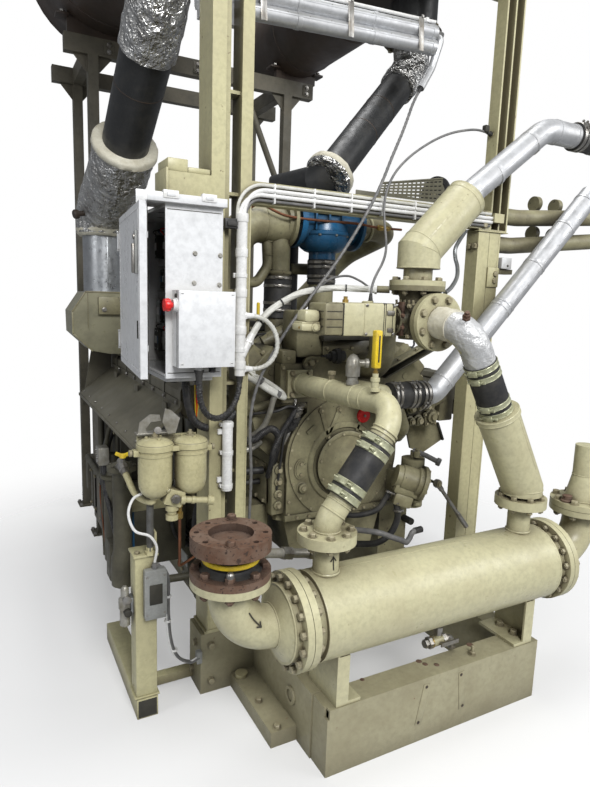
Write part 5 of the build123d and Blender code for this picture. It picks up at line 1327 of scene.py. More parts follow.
p.lathe((-848, 468, 850), DOWN, [(0, 11), (14, 11), (16, 8), (30, 8), (32, 12), (56, 12), (58, 6)], 6,
        "brass")
p.lathe((-898, 446, 912), (-0.4, -0.6, 0.5), [(0, 11), (14, 11), (15, 8), (22, 8)], 6, "filter")
p.tube(dense([(-848, 468, 792), (-847, 470, 640)], 30), 5.5, 12, "copper")
p.hose([(-847, 470, 640), (-842, 490, 600), (-800, 530, 590), (-744, 560, 600)], 8, 5.5, 12, "copper")
p.hose([(-934, 480, 880), (-950, 490, 862), (-985, 560, 872), (-1004, 640, 930)], 8, 12, 16, "filter")
p.lathe((-1004, 640, 930), (-0.1, 0.75, 0.55), [(0, 15), (18, 15), (20, 19), (40, 19), (44, 14), (70, 14)],
        8, "steel")
p.rod((-1008, 668, 962), UP, 8, 26, 10, "steel")
p.lathe((-1008, 668, 986), UP, [(0, 12), (12, 11), (16, 6)], 12, "yellow")
for e in (-1, 1):
    p.block((-1008 + e * 15, 668 - e * 5, 999), (24, 6, 15), (1, -0.35, 0.45 * e), (0, -0.2, 1), 2.5,
            "yellow")
p.rod((-1006, 690, 960), (0, 1, -0.5), 13, 110, 14, "steel")
# painted shade: the tall filter, its nuts, its base and its plug are in the dark paint for the shadow they
# stand in
p.lathe((-985, 800, 404), UP, [(0, 30), (10, 46), (60, 50), (130, 46), (160, 37), (484, 37), (490, 44),
                               (496, 58), (514, 58), (518, 42), (530, 20), (536, 8)], 36, "shade_paint")
p.hexes((-985, 800, 916), UP, 92, 6, 14, 8, "shade_paint")
p.box((-1004, 770, 404), (-950, 840, 500), 10, "shade_paint")
p.box((-1004, 842, 700), (-738, 856, 760), 2, "filter")
p.lathe((-968, 766, 846), FRONT, [(0, 12), (14, 12), (16, 8), (24, 8)], 12, "shade_paint")
p.done()

# Bright bent bracket on the stand
p = Piece("bright_bracket", "bracket", "steel")
p.plate([(-985, 520, 1104), (-978, 520, 1150), (-940, 522, 1176), (-905, 524, 1172), (-900, 524, 1150),
         (-938, 522, 1148), (-956, 520, 1126), (-950, 520, 1104)], BACK, 5)
p.plate([(-880, 505, 1104), (-900, 505, 1150), (-890, 505, 1198), (-868, 505, 1190), (-836, 505, 1160),
         (-852, 505, 1106)], BACK, 5)
p.block((-930, 530, 1108), (120, 40, 5), RIGHT, UP, 1)
p.lathe((-925, 510, 1120), (0, -1, 0.2), [(0, 8), (26, 8), (28, 13), (36, 13)], 10, "steel")
p.done(40)

# Box, pressure switch and cables at the stand
p = Piece("stand_electrics", "grey", "cable", "white_plastic", "steel", "galvanised", "black_and_hole_shade", "bracket")
p.box((-974, 478, 408), (-894, 509, 604), 6)
p.box((-976, 476, 420), (-892, 481, 592), 3)
for z in (432, 580):
    for x in (-966, -902):
        p.rod((x, 477, z), FRONT, 4.5, 2, 8, "steel")
p.box((-958, 473, 470), (-910, 477, 548), 1.5, "black_and_hole_shade")
p.lathe((-934, 494, 604), UP, [(0, 12), (14, 12), (16, 8), (24, 8)], 6, "cable")
p.lathe((-1030, 560, 362), UP, [(0, 10), (8, 19), (70, 19), (76, 23), (112, 23), (118, 15), (150, 15),
                                (160, 8)], 24, "bracket")
p.lathe((-1026, 560, 430), FRONT, [(14, 14), (40, 14), (42, 11)], 20, "black_and_hole_shade")
p.lathe((-1026, 560, 474), FRONT, [(10, 17), (24, 17), (25, 14)], 20, "steel")
p.box((-1012, 540, 420), (-1000, 580, 480), 2, "galvanised")
loop = smooth([(-934, 494, 628), (-930, 480, 690), (-958, 468, 742), (-1010, 470, 770), (-1030, 480, 830),
               (-1012, 490, 880), (-975, 500, 895)], 10)
p.tube(loop, 5, 10, "white_plastic")
bundle = [(-922, 516, 610), (-886, 506, 560), (-884, 505, 420), (-874, 506, 300), (-846, 512, 218),
          (-790, 524, 170), (-744, 534, 176)]
for k in range(4):
    shift = Vector((5 * math.cos(k * 1.6), -4 + 5 * math.sin(k * 1.6), 4 * math.sin(k)))
    p.hose([tuple(Vector(q) + shift) for q in bundle], 12, 4.2, 10, "white_plastic" if k == 2 else "cable")
for q in ((-884, 505, 480), (-884, 505, 380), (-858, 509, 250)):
    p.rod((q[0], q[1] - 3, q[2] - 4), (0.1, 0, 1), 13, 8, 14, "white_plastic")
p.box((-760, 520, 150), (-738, 545, 200), 2)
p.done()

# Engine front
p = Piece("gear_case_front", "engine", "bolt")
p.lathe((0, 676, SHAFT_Z), FRONT, [(0, 150), (4, 150), (6, 146), (6, 132), (3, 128), (3, 40), (5, 36),
                                   (5, 0)], 56)
p.hexes((0, 670, SHAFT_Z), FRONT, 276, 10, 11, 5, "bolt")
p.lathe((0, 701, SHAFT_Z), FRONT, [(0, 196), (9, 192), (14, 186), (14, 166), (8, 160)], 56)
CASE_ARC, CASE_Z, CASE_BOLTS = 278, 880, 22
p.bead((0, 699, CASE_Z), BACK, 286, 10, 0)
for k in range(CASE_BOLTS):
    a = math.radians(-12 + k * 360 / CASE_BOLTS)
    x, z = CASE_ARC * math.cos(a), CASE_Z + CASE_ARC * math.sin(a)
    if z > 640:
        p.bolt((x, 700, z), FRONT, 13, 7, "bolt")
for x in (-CASE_ARC, CASE_ARC):
    for z in (640, 700):
        p.bolt((x, 700, z), FRONT, 13, 7, "bolt")
for low, high in (((-92, 700, 985), (-132, 700, 1108)), ((-92, 700, 985), (-40, 700, 1108)),
                  ((60, 700, 1000), (100, 700, 1100)), ((-200, 700, 1010), (-160, 700, 1040))):
    d = Vector(high) - Vector(low)
    p.block((Vector(low) + Vector(high)) / 2 + Vector((0, -7, 0)), (d.length, 18, 12), d, FRONT, 3)
for x, z in ((-132, 1108), (-40, 1108), (-92, 985), (100, 1100)):
    p.lathe((x, 700, z), FRONT, [(0, 15), (14, 13)], 16)
    p.bolt((x, 686, z), FRONT, 13, 7, "bolt")
p.plate(ellipse((-228, 701, 849), 31, 46), FRONT, 12)
p.plate(ellipse((-228, 690, 849), 24, 38), FRONT, 4)
for z in (825, 873):
    p.bolt((-228, 688, z), FRONT, 13, 7, "bolt")
p.lathe((-217, 701, 763), FRONT, [(0, 27), (8, 27), (10, 21), (24, 21), (26, 17)], 24)
p.rod((-217, 676, 763), FRONT, 12, 5, 6, "bolt")
p.box((-352, 722, 640), (-286, 762, 880), 6)
for z in (685, 737, 794, 848):
    p.lathe((-322, 724, z), FRONT, [(0, 21), (10, 20), (12, 16)], 20)
    p.bolt((-322, 712, z), FRONT, 20, 10, "bolt")
p.box((-300, 688, 612), (300, 702, 640), 4)
for k in range(9):
    p.bolt((-240 + 60 * k, 688, 626), FRONT, 13, 7, "bolt")
for x in (-290, -207):
    for z in (1190, 1282):
        p.bolt((x, 680, z), FRONT, 18, 10, "bolt")
for x, z in ((-325, 1165), (-325, 1305), (-180, 1308)):
    p.bolt((x, 700, z), FRONT, 15, 8, "bolt")
p.lathe((94, 702, 1073), FRONT, [(0, 42), (8, 42), (10, 38)], 32)
p.done()

# Red cap on the gear case
p = Piece("warning_cap", "red", "steel")
p.lathe((94, 692, 1073), FRONT, [(0, 34), (8, 34), (12, 30), (13, 0)], 32)
p.lathe((94, 679, 1073), FRONT, [(0, 7), (6, 6)], 6, "steel")
p.done()

# Castings, sensors and the drain at the top of the gear case
p = Piece("thermostat_housing", "engine", "bolt", "black_and_hole_shade", "rubber", "bracket")
p.box((-262, 705, 1345), (-128, 850, 1548), 16)
p.box((-276, 655, 1478), (-140, 720, 1552), 12)
p.box((-330, 700, 1318), (-262, 790, 1378), 8)
p.box((-130, 705, 1352), (152, 800, 1420), 10)
p.box((-150, 664, 1424), (90, 706, 1442), 3, "black_and_hole_shade")
p.box((-60, 690, 1436), (150, 800, 1500), 12)
for x, z in ((-246, 1500), (-160, 1500), (-246, 1535), (-300, 1345), (-110, 1386), (20, 1386), (120, 1386)):
    p.bolt((x, 704 if z < 1400 else 655, z), FRONT, 14, 8, "bolt")
p.plate(ellipse((-195, 705, 1325), 40, 27, 0.3), FRONT, 16)
for e in (-1, 1):
    p.bolt((-195 + e * 27, 689, 1325 + e * 8), FRONT, 13, 7, "bolt")
p.lathe((-195, 690, 1325), FRONT, [(0, 16), (14, 14), (16, 8)], 6, "bolt")
p.lathe((-62, 640, 1357), LEFT, [(0, 24), (18, 24), (20, 32), (46, 32), (48, 23), (66, 22), (68, 12),
                                 (86, 10), (90, 5), (112, 4)], 22, "rubber")
for t in (26, 36):
    p.bead((-62 - t, 640, 1357), RIGHT, 32, 4, 2, "rubber")
p.lathe((-40, 700, 1357), FRONT, [(0, 30), (70, 28)], 20)
p.lathe((-219, 324, 1284), UP, [(0, 24), (14, 24), (16, 20), (30, 20), (32, 27), (70, 28), (96, 24),
                                (112, 13), (118, 0)], 26, "bracket")
p.lathe((-219, 324, 1366), (1, -0.4, 0), [(0, 14), (44, 14), (46, 18), (58, 18)], 14, "bracket")
p.lathe((-222, 470, 1278), UP, [(0, 12), (24, 12), (26, 17), (38, 17), (40, 8)], 6, "bolt")
p.tube(rounded([(-330, 900, 1395), (-250, 880, 1440), (-150, 860, 1490)], 60, 8), 34, 24)
p.clamp((-180, 866, 1476), (0.87, -0.2, 0.44), 35, 14, FRONT, "black_and_hole_shade")
p.done()

# Looms and plugs beside the gear case
p = Piece("gear_case_wiring", "loom", "rubber", "steel")
thick_run = [(-560, 740, 990), (-503, 720, 997), (-452, 700, 1002), (-421, 680, 1034), (-386, 670, 1050),
             (-352, 675, 1016), (-348, 700, 946), (-345, 740, 868)]
middle_run = [(-262, 690, 1120), (-296, 676, 1083), (-330, 668, 1044), (-350, 668, 1007), (-372, 672, 956),
              (-375, 690, 885), (-370, 730, 820)]
upper_run = [(-240, 690, 1120), (-300, 680, 1140), (-360, 690, 1120), (-450, 760, 1100)]
thin_run = [(-300, 690, 1060), (-318, 690, 980), (-322, 700, 900), (-330, 720, 760)]
for run, r in ((thick_run, 15), (middle_run, 11), (upper_run, 6), (thin_run, 5)):
    line = smooth(run, 14)
    p.tube(line, [r + (1.6 if r > 8 else 0.4) * (i % 2) for i in range(len(line))], 14,
           "loom" if r > 8 else "rubber")
for x, z, way in ((-268, 1064, (0.6, -0.4, 0.7)), (-262, 1094, (0.5, -0.5, 0.7)),
                  (-250, 1122, (0.3, -0.6, 0.7)), (-286, 1040, (0.6, -0.5, 0.6))):
    p.lathe((x, 690, z), way, [(-26, 13), (0, 14), (2, 18), (16, 18), (18, 12), (34, 12)], 14,
            "steel" if z > 1070 else "rubber")
p.block((-300, 696, 1000), (70, 10, 16), (0.5, 0, 1), FRONT, 2, "steel")
p.done()

# Hand pump, valves and hoses at the right of the gear case
p = Piece("hand_pump", "engine", "bolt", "copper", "cable")
PUMP_AXIS = Vector((0.86, -0.42, -0.28)).normalized()
p.lathe(PUMP, PUMP_AXIS, [(0, 40), (0, 52), (24, 56), (26, 60), (96, 62), (100, 70), (120, 70), (122, 82),
                          (138, 82), (144, 76), (148, 40), (150, 0)], 36)
p.hexes(at(PUMP, PUMP_AXIS, 138), PUMP_AXIS, 142, 8, 14, 8, "bolt")
p.block((280, 560, 735), (150, 90, 60), PUMP_AXIS, UP, 14)
p.block((246, 560, 690), (90, 70, 60), PUMP_AXIS, UP, 12)
p.lathe((316, 552, 700), (0.1, -0.2, -1), [(0, 30), (26, 30), (28, 22), (44, 22)], 20)
for q in ((262, 548, 770), (310, 524, 752), (230, 560, 722), (290, 535, 705)):
    p.bolt(q, (-0.3, -0.95, 0.1), 16, 9, "bolt")
p.lathe((330, 574, 880), UP, [(0, 16), (26, 16), (28, 11), (40, 11)], 14)
p.tube([(322, 596, 910), (364, 548, 890), (396, 508, 870)], 12, 18, "cable")
p.lathe((396, 508, 870), (0.6, -0.6, -0.3), [(-4, 14), (0, 19), (14, 19), (18, 15), (18, 0)], 24, "cable")
p.lathe((406.6, 497.4, 864.7), (0.6, -0.6, -0.3), [(0, 13), (1.6, 12), (1.6, 0)], 20, "copper")
p.done()

# Grip and pivot of the pump's lever
p = Piece("pump_lever_details", "steel", "bolt", body="pump_arm")
LEVER_WAY = Vector((math.cos(math.radians(50)), 0, -math.sin(math.radians(50))))
p.lathe(at(PUMP_PIVOT, LEVER_WAY, 18), LEVER_WAY, [(0, 13), (26, 12), (30, 9.6)], 20)
p.lathe(at(PUMP_PIVOT, LEVER_WAY, 214), LEVER_WAY, [(0, 9.2), (3, 11.6), (104, 12), (108, 9)], 24)
p.bead(PUMP_PIVOT, BACK, 20, 4, 1.4)
p.lathe((410, 498.5, 760), FRONT, [(0, 15), (3, 15), (3, 9), (8, 9)], 18, "bolt")
p.done()

# Valves and plates at the right of the gear case
WHEEL_X, WHEEL_Z = 463, 1051
p = Piece("valve_cluster", "engine", "bolt", "black_and_hole_shade", "steel")
p.box((312, 660, 1008), (500, 762, 1120), 12)
p.box((560, 700, 1010), (650, 780, 1176), 10)
for x, z, r in ((330, 1100, 26), (372, 1110, 24), (330, 1040, 24), (378, 1040, 28), (425, 1104, 20)):
    p.lathe((x, 662, z), FRONT, [(0, r), (22, r), (24, r * 0.7), (40, r * 0.7), (42, r * 0.5)], 18)
    p.rod((x, 620, z), FRONT, r * 0.5, 8, 6, "bolt")
p.lathe((WHEEL_X, 662, WHEEL_Z), FRONT, [(0, 40), (14, 40), (16, 30), (30, 28), (32, 16), (44, 14)], 32)
for k in range(5):
    a = math.radians(72 * k + 18)
    p.lathe((WHEEL_X + 40 * math.cos(a), 660, WHEEL_Z + 40 * math.sin(a)), FRONT, [(0, 13), (14, 12)], 16)
    p.bolt((WHEEL_X + 40 * math.cos(a), 646, WHEEL_Z + 40 * math.sin(a)), FRONT, 12, 6, "bolt")
p.block((540, 690, 1120), (90, 30, 20), (1, 0, 0.5), FRONT, 4)
p.block((520, 690, 1150), (60, 24, 60), RIGHT, UP, 6)
p.tube(rounded([(380, 640, 1090), (420, 610, 1130), (500, 640, 1160)], 24, 6), 9, 12, "steel")
p.plate([(385, 745, 1004), (591, 745, 990), (632, 745, 902), (506, 745, 840), (426, 745, 873)], BACK, 10)
p.block((612, 742, 946), (104, 12, 14), (-0.42, 0, 0.9), FRONT, 2, "black_and_hole_shade")
p.tube(rounded([(150, 690, 1120), (245, 640, 1105), (290, 640, 1010), (292, 690, 960)], 50, 8), 33, 24)
p.done()

# Hoses below the hand pump
p = Piece("sump_hoses", "rubber", "steel", "cable")
wide_run = [(212, 566, 700), (222, 560, 640), (226, 562, 590), (200, 575, 520), (150, 610, 470),
            (90, 700, 440)]
short_run = [(186, 580, 730), (170, 590, 690), (135, 600, 640), (70, 640, 610), (20, 690, 600)]
cable_run = [(20, 600, 560), (71, 500, 577), (136, 480, 552), (200, 478, 524), (223, 480, 513),
             (240, 480, 530), (252, 480, 552), (270, 480, 560), (300, 480, 562)]
for run, r, look in ((wide_run, 15, "rubber"), (short_run, 13, "rubber"), (cable_run, 13, "cable")):
    p.hose(run, 12, r, 16, look)
for q, way, r in (((216, 564, 680), (0.1, 0, -1), 16), ((222, 561, 640), (0.1, 0, -1), 16),
                  ((184, 581, 726), (-0.4, 0, -1), 14)):
    p.clamp(q, way, r, 9, FRONT, "steel")
p.lathe((300, 480, 562), (1, 0, 0.06), [(-34, 15), (6, 15), (8, 13)], 18)
p.done()

# Fuel mixer and charge pipes
p = Piece("mixer_details", "blue", "steel")
p.lathe((MIXER_X, MIXER_Y, 1818), UP, [(0, 70), (6, 88), (24, 112), (50, 126), (72, 126), (78, 132),
                                       (92, 132), (96, 124), (130, 118)], 44)
p.hexes((MIXER_X, MIXER_Y, 1896), DOWN, 250, 10, 14, 7, "steel")
for x, side in ((-132, -1), (192, 1)):
    p.lathe((x, MIXER_Y, MIXER_Z), (side, 0, 0), [(-14, 86), (-12, 112), (4, 112), (6, 86)], 44)
    p.hexes((x + side * 4, MIXER_Y, MIXER_Z), (side, 0, 0), 196, 8, 18, 9, "steel")
p.lathe((40, MIXER_Y, 2028), UP, [(0, 40), (6, 40), (8, 30), (18, 28)], 30)
for k in range(3):
    p.block((-70 + 70 * k, 912, 1960), (10, 20, 96), RIGHT, UP, 3)
p.box((-60, 905, 1990), (60, 930, 2014), 4)
p.done()

# Pipes and hoses that feed the mixer
p = Piece("charge_pipes", "engine", "rubber", "steel", "pipe")
p.pipe([(-152, MIXER_Y, 1925), (-442, MIXER_Y, 1925), (-442, MIXER_Y, 1440)], 130, 12, 30, 82, 36)
p.lathe((-168, MIXER_Y, MIXER_Z), LEFT, [(0, 118), (16, 118), (18, 96), (34, 92)], 44)
p.hexes((-168, MIXER_Y, MIXER_Z), LEFT, 206, 8, 18, 9, "steel")
p.bead((-300, MIXER_Y, 1925), RIGHT, 82, 7, 2.4)
p.rod((-215, MIXER_Y, 1506), UP, 64, 192, 40, "rubber")
for z in (1690, 1653, 1574, 1541):
    p.clamp((-215, MIXER_Y, z), UP, 64, 14, (-0.3, -1, 0), "steel")
p.lathe((-215, MIXER_Y, 1706), UP, [(0, 60), (8, 64), (12, 64), (16, 59)], 36)
p.rod((MIXER_X, MIXER_Y, 1668), UP, 68, 116, 40, "rubber")
for z in (1684, 1706, 1750, 1772):
    p.clamp((MIXER_X, MIXER_Y, z), UP, 68, 14, (-0.2, -1, 0), "steel")
p.pipe([(-290, 990, 1990), (-275, 985, 1740), (-330, 980, 1665), (-430, 960, 1660)], [60, 50], 8, 40, 24,
       20)
p.tube(rounded([(-70, 1150, 1742), (70, 1150, 1745), (70, 1150, 1600)], 50, 8), 28, 20)
for t in (-120, -60, 0):
    p.bead((-275 + t * 0.02, 985, 1850 + t), UP, 24, 6, 2)
p.lathe((262, MIXER_Y, MIXER_Z), RIGHT, [(0, 60), (4, 64), (10, 64), (14, 60)], 36, "pipe")
p.done()

# Copper lines behind the mixer
p = Piece("copper_lines", "copper", "brass", "cable")
p.hose([(-351, 900, 2003), (-290, 895, 1975), (-211, 890, 1956), (-40, 886, 1952), (128, 888, 1955),
        (270, 900, 1948), (432, 930, 1953)], 10, 6, 12)
p.lathe((262, 899, 1948), (1, 0.1, 0), [(0, 9), (8, 14), (30, 14), (34, 10), (60, 13), (76, 13), (84, 8)],
        12, "brass")
p.hose([(-351, 900, 2003), (-380, 930, 1990), (-400, 980, 1960)], 8, 6, 12)
p.hose([(-240, 560, 1646), (-194, 556, 1682), (-118, 552, 1697), (-60, 545, 1680), (-22, 530, 1655)], 8,
       4.5, 10, "cable")
p.done()

# Tied white cable beside the gear case
p = Piece("tied_white_cable", "white_cable", "cable", "steel", "bracket", "engine")
coil = []
for k in range(27):
    a = math.radians(200 + 27 * k)
    grow = 1 - 0.006 * k
    turn = Vector((66, 0, -38)) * math.cos(a) + Vector((0, 30, 13)) * math.sin(a)
    coil.append(Vector((-400, 662, 1222 + 0.5 * k)) + turn * grow)
p.hose([(-560, 640, 1330), (-520, 640, 1285)] + [tuple(q) for q in coil], 6, 12, 16)
strand_line = smooth([(-560, 650, 1400), (-536, 640, 1350), (-500, 636, 1306), (-462, 640, 1266)], 10)
for turn in (0, 2.1, 4.2):
    strand = []
    for i, q in enumerate(strand_line):
        a = turn + i * 0.5
        strand.append(q + Vector((7 * math.cos(a), 3, 7 * math.sin(a))))
    p.tube(strand, 4.5, 10)
p.lathe((-378, 634, 1205), (1, 0, -0.6), [(-9, 13.5), (-9, 15), (9, 15), (9, 13.5)], 16, "cable")
p.lathe((-452, 640, 1262), (1, 0, -0.8), [(-3, 14), (-3, 16), (3, 16), (3, 14)], 16, "cable")
p.hose([(-372, 640, 1214), (-393, 644, 1184), (-401, 660, 1125), (-413, 680, 1071), (-431, 700, 1037),
        (-452, 730, 1010)], 8, 12, 16, "bracket")
p.hose([(-560, 760, 930), (-495, 740, 950), (-458, 730, 954), (-397, 760, 972)], 8, 13, 16, "bracket")
p.hose([(-420, 780, 1120), (-334, 740, 1146), (-276, 725, 1151), (-191, 720, 1130), (-120, 730, 1100)], 8,
       19, 18, "engine")
p.clamp((-262, 724, 1150), (1, 0, -0.1), 19, 12, (0, -1, 0.3), "steel")
p.done()

# Engine banks
p = Piece("head_details", "engine", "bolt", "rubber", "black_and_hole_shade")
for side in (-1, 1):
    n = Vector((side * 0.7071, 0, 0.7071))
    w = Vector((side * 0.7071, 0, -0.7071))
    for y in CYLINDERS:
        c = Vector((side * 330, y, 1180))
        top = c + n * 210
        for dy in (-60, 60):
            for dw in (-72, 72):
                p.bolt(tuple(top + Vector((0, dy, 0)) + w * dw), n, 15, 9, "bolt")
        p.block(c + n * 150, (222, 262, 8), BACK, n, 3)
        p.lathe(tuple(top), n, [(0, 34), (6, 34), (8, 25), (40, 24), (44, 18), (52, 10)], 24, "rubber")
        for dy in (-84, 84):
            for dw in (-96, 96):
                p.bolt(tuple(c + n * 152 + Vector((0, dy, 0)) + w * dw), n, 20, 13, "bolt")
        for dw in (-60, 0, 60):
            for dy in (-113.5, 113.5):
                p.lathe(tuple(c + n * 80 + w * dw + Vector((0, dy, 0))), (0, dy, 0), [(-2, 17), (3, 15)],
                        16)
        lead = [tuple(top + n * 48), tuple(top + n * 74 - w * 12), tuple(top + n * 70 - w * 70),
                (side * 150, y + 10, 1440)]
        p.hose(lead, 7, 5, 8, "rubber")
        p.tube([(side * 128, y, 1412), (side * 200, y, 1396), (side * 268, y, 1340), (side * 300, y, 1325)],
               39, 22)
        p.bead((side * 152, y, 1409), (side * 0.95, 0, -0.2), 41, 9, 4)
    p.box((side * 160 - 16, 790, 1436), (side * 160 + 16, 2230, 1470), 5, "black_and_hole_shade")
    for k in range(7):
        p.bolt((side * 160, 820 + 232 * k, 1470), UP, 12, 6, "bolt")
p.done()

# Clips and edges of the manifold guards
MANIFOLD_X, MANIFOLD_TOP = 690, 1238
p = Piece("manifold_details", "guard", "steel")
for side in (-1, 1):
    for y in [1010 + 250 * k for k in range(5)] + [770, 2250]:
        p.box((side * MANIFOLD_X - 68, y - 7, 1102), (side * MANIFOLD_X + 68, y + 7, MANIFOLD_TOP), 24)
        p.bolt((side * MANIFOLD_X, y, MANIFOLD_TOP), UP, 16, 14, "steel")
    for k in range(8):
        y = 790 + 184 * k
        p.bolt((side * 761, y, 1164), (side, 0, 0), 15, 8, "steel")
        p.lathe((side * 930, y, 1016), (side * 0.62, 0, 0.78), [(0, 5), (3, 4)], 10, "steel")
    p.block((side * 951, 1440, 993), (1400, 6, 16), BACK, UP, 1.5)
    p.plate([(side * 760, 741, 1172), (side * 766, 741, 1150), (side * 948, 741, 998),
             (side * 940, 741, 990), (side * 760, 741, 1136)], BACK, 4)
    for y in (870, 1370, 1870):
        p.block((side * 790, y, 1080), (8, 60, 150), (side, 0, 0), UP, 2)
p.done()

# Crankcase doors, sockets and side rails
DOOR_Z, SIDE_PIPE_X, SIDE_PIPE_Z = 765, 420, 1010
p = Piece("crankcase_doors", "engine", "bolt", "steel")
for side in (-1, 1):
    for y in CYLINDERS:
        x = side * 339
        p.block((x + side * 4, y, DOOR_Z), (186, 14, 190), BACK, UP, 6)
        for dy in (-78, 0, 78):
            for dz in (-80, 80):
                p.bolt((x + side * 11, y + dy, DOOR_Z + dz), (side, 0, 0), 16, 9, "bolt")
        p.lathe((side * 380, y, 985), (side * 0.8, 0, -0.6), [(-30, 30), (24, 30), (26, 36), (36, 36)], 20)
    for k in range(24):
        p.bolt((side * 302, 790 + 62 * k, 600), DOWN, 14, 7, "bolt")
    run = [(side * SIDE_PIPE_X, y, SIDE_PIPE_Z) for y in (800, 2210)]
    p.tube(dense(run, 200), 26, 18)
    for y in (1010, 1510, 2010):
        p.clamp((side * SIDE_PIPE_X, y, SIDE_PIPE_Z), BACK, 26, 14, (side, 0, 0), "steel")
p.done()

# Strainers, filters and pipes along the skid, in the dark paint that is painted shade for the shaded side of
# the engine
STRAINER_X, FILTER_X, RAIL_X = 470, 456, 524
strainer = [(0, 40), (4, 62), (30, 66), (34, 72), (250, 72), (254, 66), (290, 62), (296, 40)]
canister = [(0, 30), (6, 54), (210, 56), (214, 62), (234, 62), (238, 40), (262, 30)]
p = Piece("side_equipment", "shade_paint", "rubber", "steel", "bolt", "grey")
for side in (-1, 1):
    p.lathe((side * STRAINER_X, 1120, 352), BACK, strainer, 36, "shade_paint")
    for k in range(14):
        a = math.radians(-20 + 220 * k / 13)
        q = (side * STRAINER_X + 73 * math.cos(a), 1262, 352 + 73 * math.sin(a))
        p.block(q, (200, 5, 6), BACK, (math.cos(a), 0, math.sin(a)), 1, "shade_paint")
    p.box((side * STRAINER_X - 60, 1180, 250), (side * STRAINER_X + 60, 1350, 292), 4, "shade_paint")
    p.box((side * STRAINER_X - 30, 1220, 410), (side * STRAINER_X + 30, 1310, 462), 6, "grey")
    for y in (1560, 1720, 1880):
        p.lathe((side * FILTER_X, y, 262), UP, canister, 32, "shade_paint")
        p.hexes((side * FILTER_X, y, 498), UP, 100, 6, 14, 8, "bolt")
    run = [(side * FILTER_X, 1500, 545), (side * FILTER_X, 1960, 545), (side * 400, 2060, 640)]
    p.pipe(run, 60, 8, 120, 21, 16, "shade_paint")
    run = [(side * 480, 760, 470), (side * 480, 1080, 470), (side * STRAINER_X, 1130, 400)]
    p.pipe(run, 40, 8, 120, 18, 16, "rubber")
    p.tube(dense([(side * RAIL_X, 700, 268), (side * RAIL_X, 2200, 268)], 300), 14, 14, "shade_paint")
    for y in (760, 1100, 1440, 1780, 2120):
        p.box((side * RAIL_X - 20, y, 250), (side * RAIL_X + 20, y + 14, 288), 3, "steel")
p.lathe((-600, 820, 330), UP, [(0, 46), (6, 60), (150, 62), (154, 70), (170, 70), (172, 44), (196, 34)], 36,
        "shade_paint")
p.hexes((-600, 820, 500), UP, 112, 6, 15, 8, "bolt")
p.box((-660, 770, 250), (-540, 870, 332), 4, "shade_paint")
p.hose([(-600, 820, 520), (-600, 815, 580), (-640, 790, 640), (-700, 700, 650), (-720, 640, 600)], 10, 15,
       14, "rubber")
p.hose([(-560, 960, 270), (-620, 940, 420), (-640, 900, 620), (-600, 860, 760), (-480, 830, 820),
        (-360, 800, 830)], 10, 17, 14, "rubber")
p.hose([(-470, 1120, 380), (-560, 1060, 480), (-580, 980, 640), (-500, 900, 740), (-350, 860, 760)], 10, 13,
       14, "rubber")
p.hose([(-540, 1300, 300), (-640, 1240, 420), (-660, 1180, 640), (-600, 1150, 840), (-470, 1120, 960)], 10,
       11, 12, "rubber")
p.box((-650, 980, 250), (-545, 1080, 400), 6, "shade_paint")
p.box((-655, 985, 340), (-649, 1075, 396), 2, "grey")
for q in ((-652, MIXER_Y, 300), (-652, 1060, 300)):
    p.bolt(q, LEFT, 14, 7, "bolt")
p.hose([(-985, 800, 540), (-960, 800, 470), (-860, 810, 400), (-700, 820, 380), (-640, 820, 380)], 8, 17,
       14, "shade_paint")
p.done()

# Boxes on the platform's left post
p = Piece("platform_boxes", "dark_frame", "grey", "black_and_hole_shade", "steel")
p.box((-884, 2336, 330), (-822, 2400, 551), 4)
for z in (370, 430, 490):
    p.lathe((-850, 2336, z), FRONT, [(0, 9), (1.5, 8)], 12, "black_and_hole_shade")
p.box((-818, 2340, 483), (-752, 2370, 599), 4, "grey")
for z in (510, 540, 570):
    p.rod((-785, 2340, z), FRONT, 7, 4, 10, "steel")
p.done()

# Alternator
p = Piece("alternator_details", "engine", "bolt", "black_and_hole_shade", "grey")
for k in range(26):
    a = math.radians(-35 + 250 * k / 25)
    if 62 < math.degrees(a) < 118:
        continue
    out = Vector((math.cos(a), 0, math.sin(a)))
    p.block(Vector((0, 2885, SHAFT_Z)) + out * 324, (810, 7, 20), BACK, out, 2)
for y in (2462, 3308):
    p.bead((0, y, SHAFT_Z), BACK, 318, 22, 16)
p.hexes((0, 2452, SHAFT_Z), FRONT, 654, 16, 20, 10, "bolt")
p.hexes((0, ALTERNATOR_END, SHAFT_Z), BACK, 400, 8, 20, 10, "bolt")
# painted shade: dark slots and rings stand for the openings of the end grille
for k in range(20):
    a = 2 * math.pi * k / 20
    out = Vector((math.cos(a), 0, math.sin(a)))
    p.block(Vector((0, 3312, SHAFT_Z)) + out * 270, (70, 20, 6), out, BACK, 2, "black_and_hole_shade")
for r in (60, 100, 140, 180):
    p.bead((0, ALTERNATOR_END, SHAFT_Z), BACK, r, 8, 5, "black_and_hole_shade")
p.box((-224, 2656, 1322), (224, 3164, 1336), 4)
for x in (-208, 0, 208):
    for y in (2672, 3148):
        p.bolt((x, y, 1336), UP, 14, 8, "bolt")
for x in (-228, 228):
    p.box((x - 3, 2700, 1180), (x + 3, 3120, 1300), 2)
    for y in (2760, 2860, 2960, 3060):
        p.lathe((x, y, 1220), (x, 0, 0), [(0, 26), (12, 26), (14, 20), (34, 20)], 6, "grey")
for x in (-120, 120):
    for y in (2560, 3230):
        p.lathe((x, y, 1150), UP, [(0, 26), (40, 24)], 20)
        eye = [0.35 * k - 1.5 for k in range(18)]
        p.tube([(x + 30 * math.cos(t), y, 1214 + 30 * math.sin(t)) for t in eye], 9, 10)
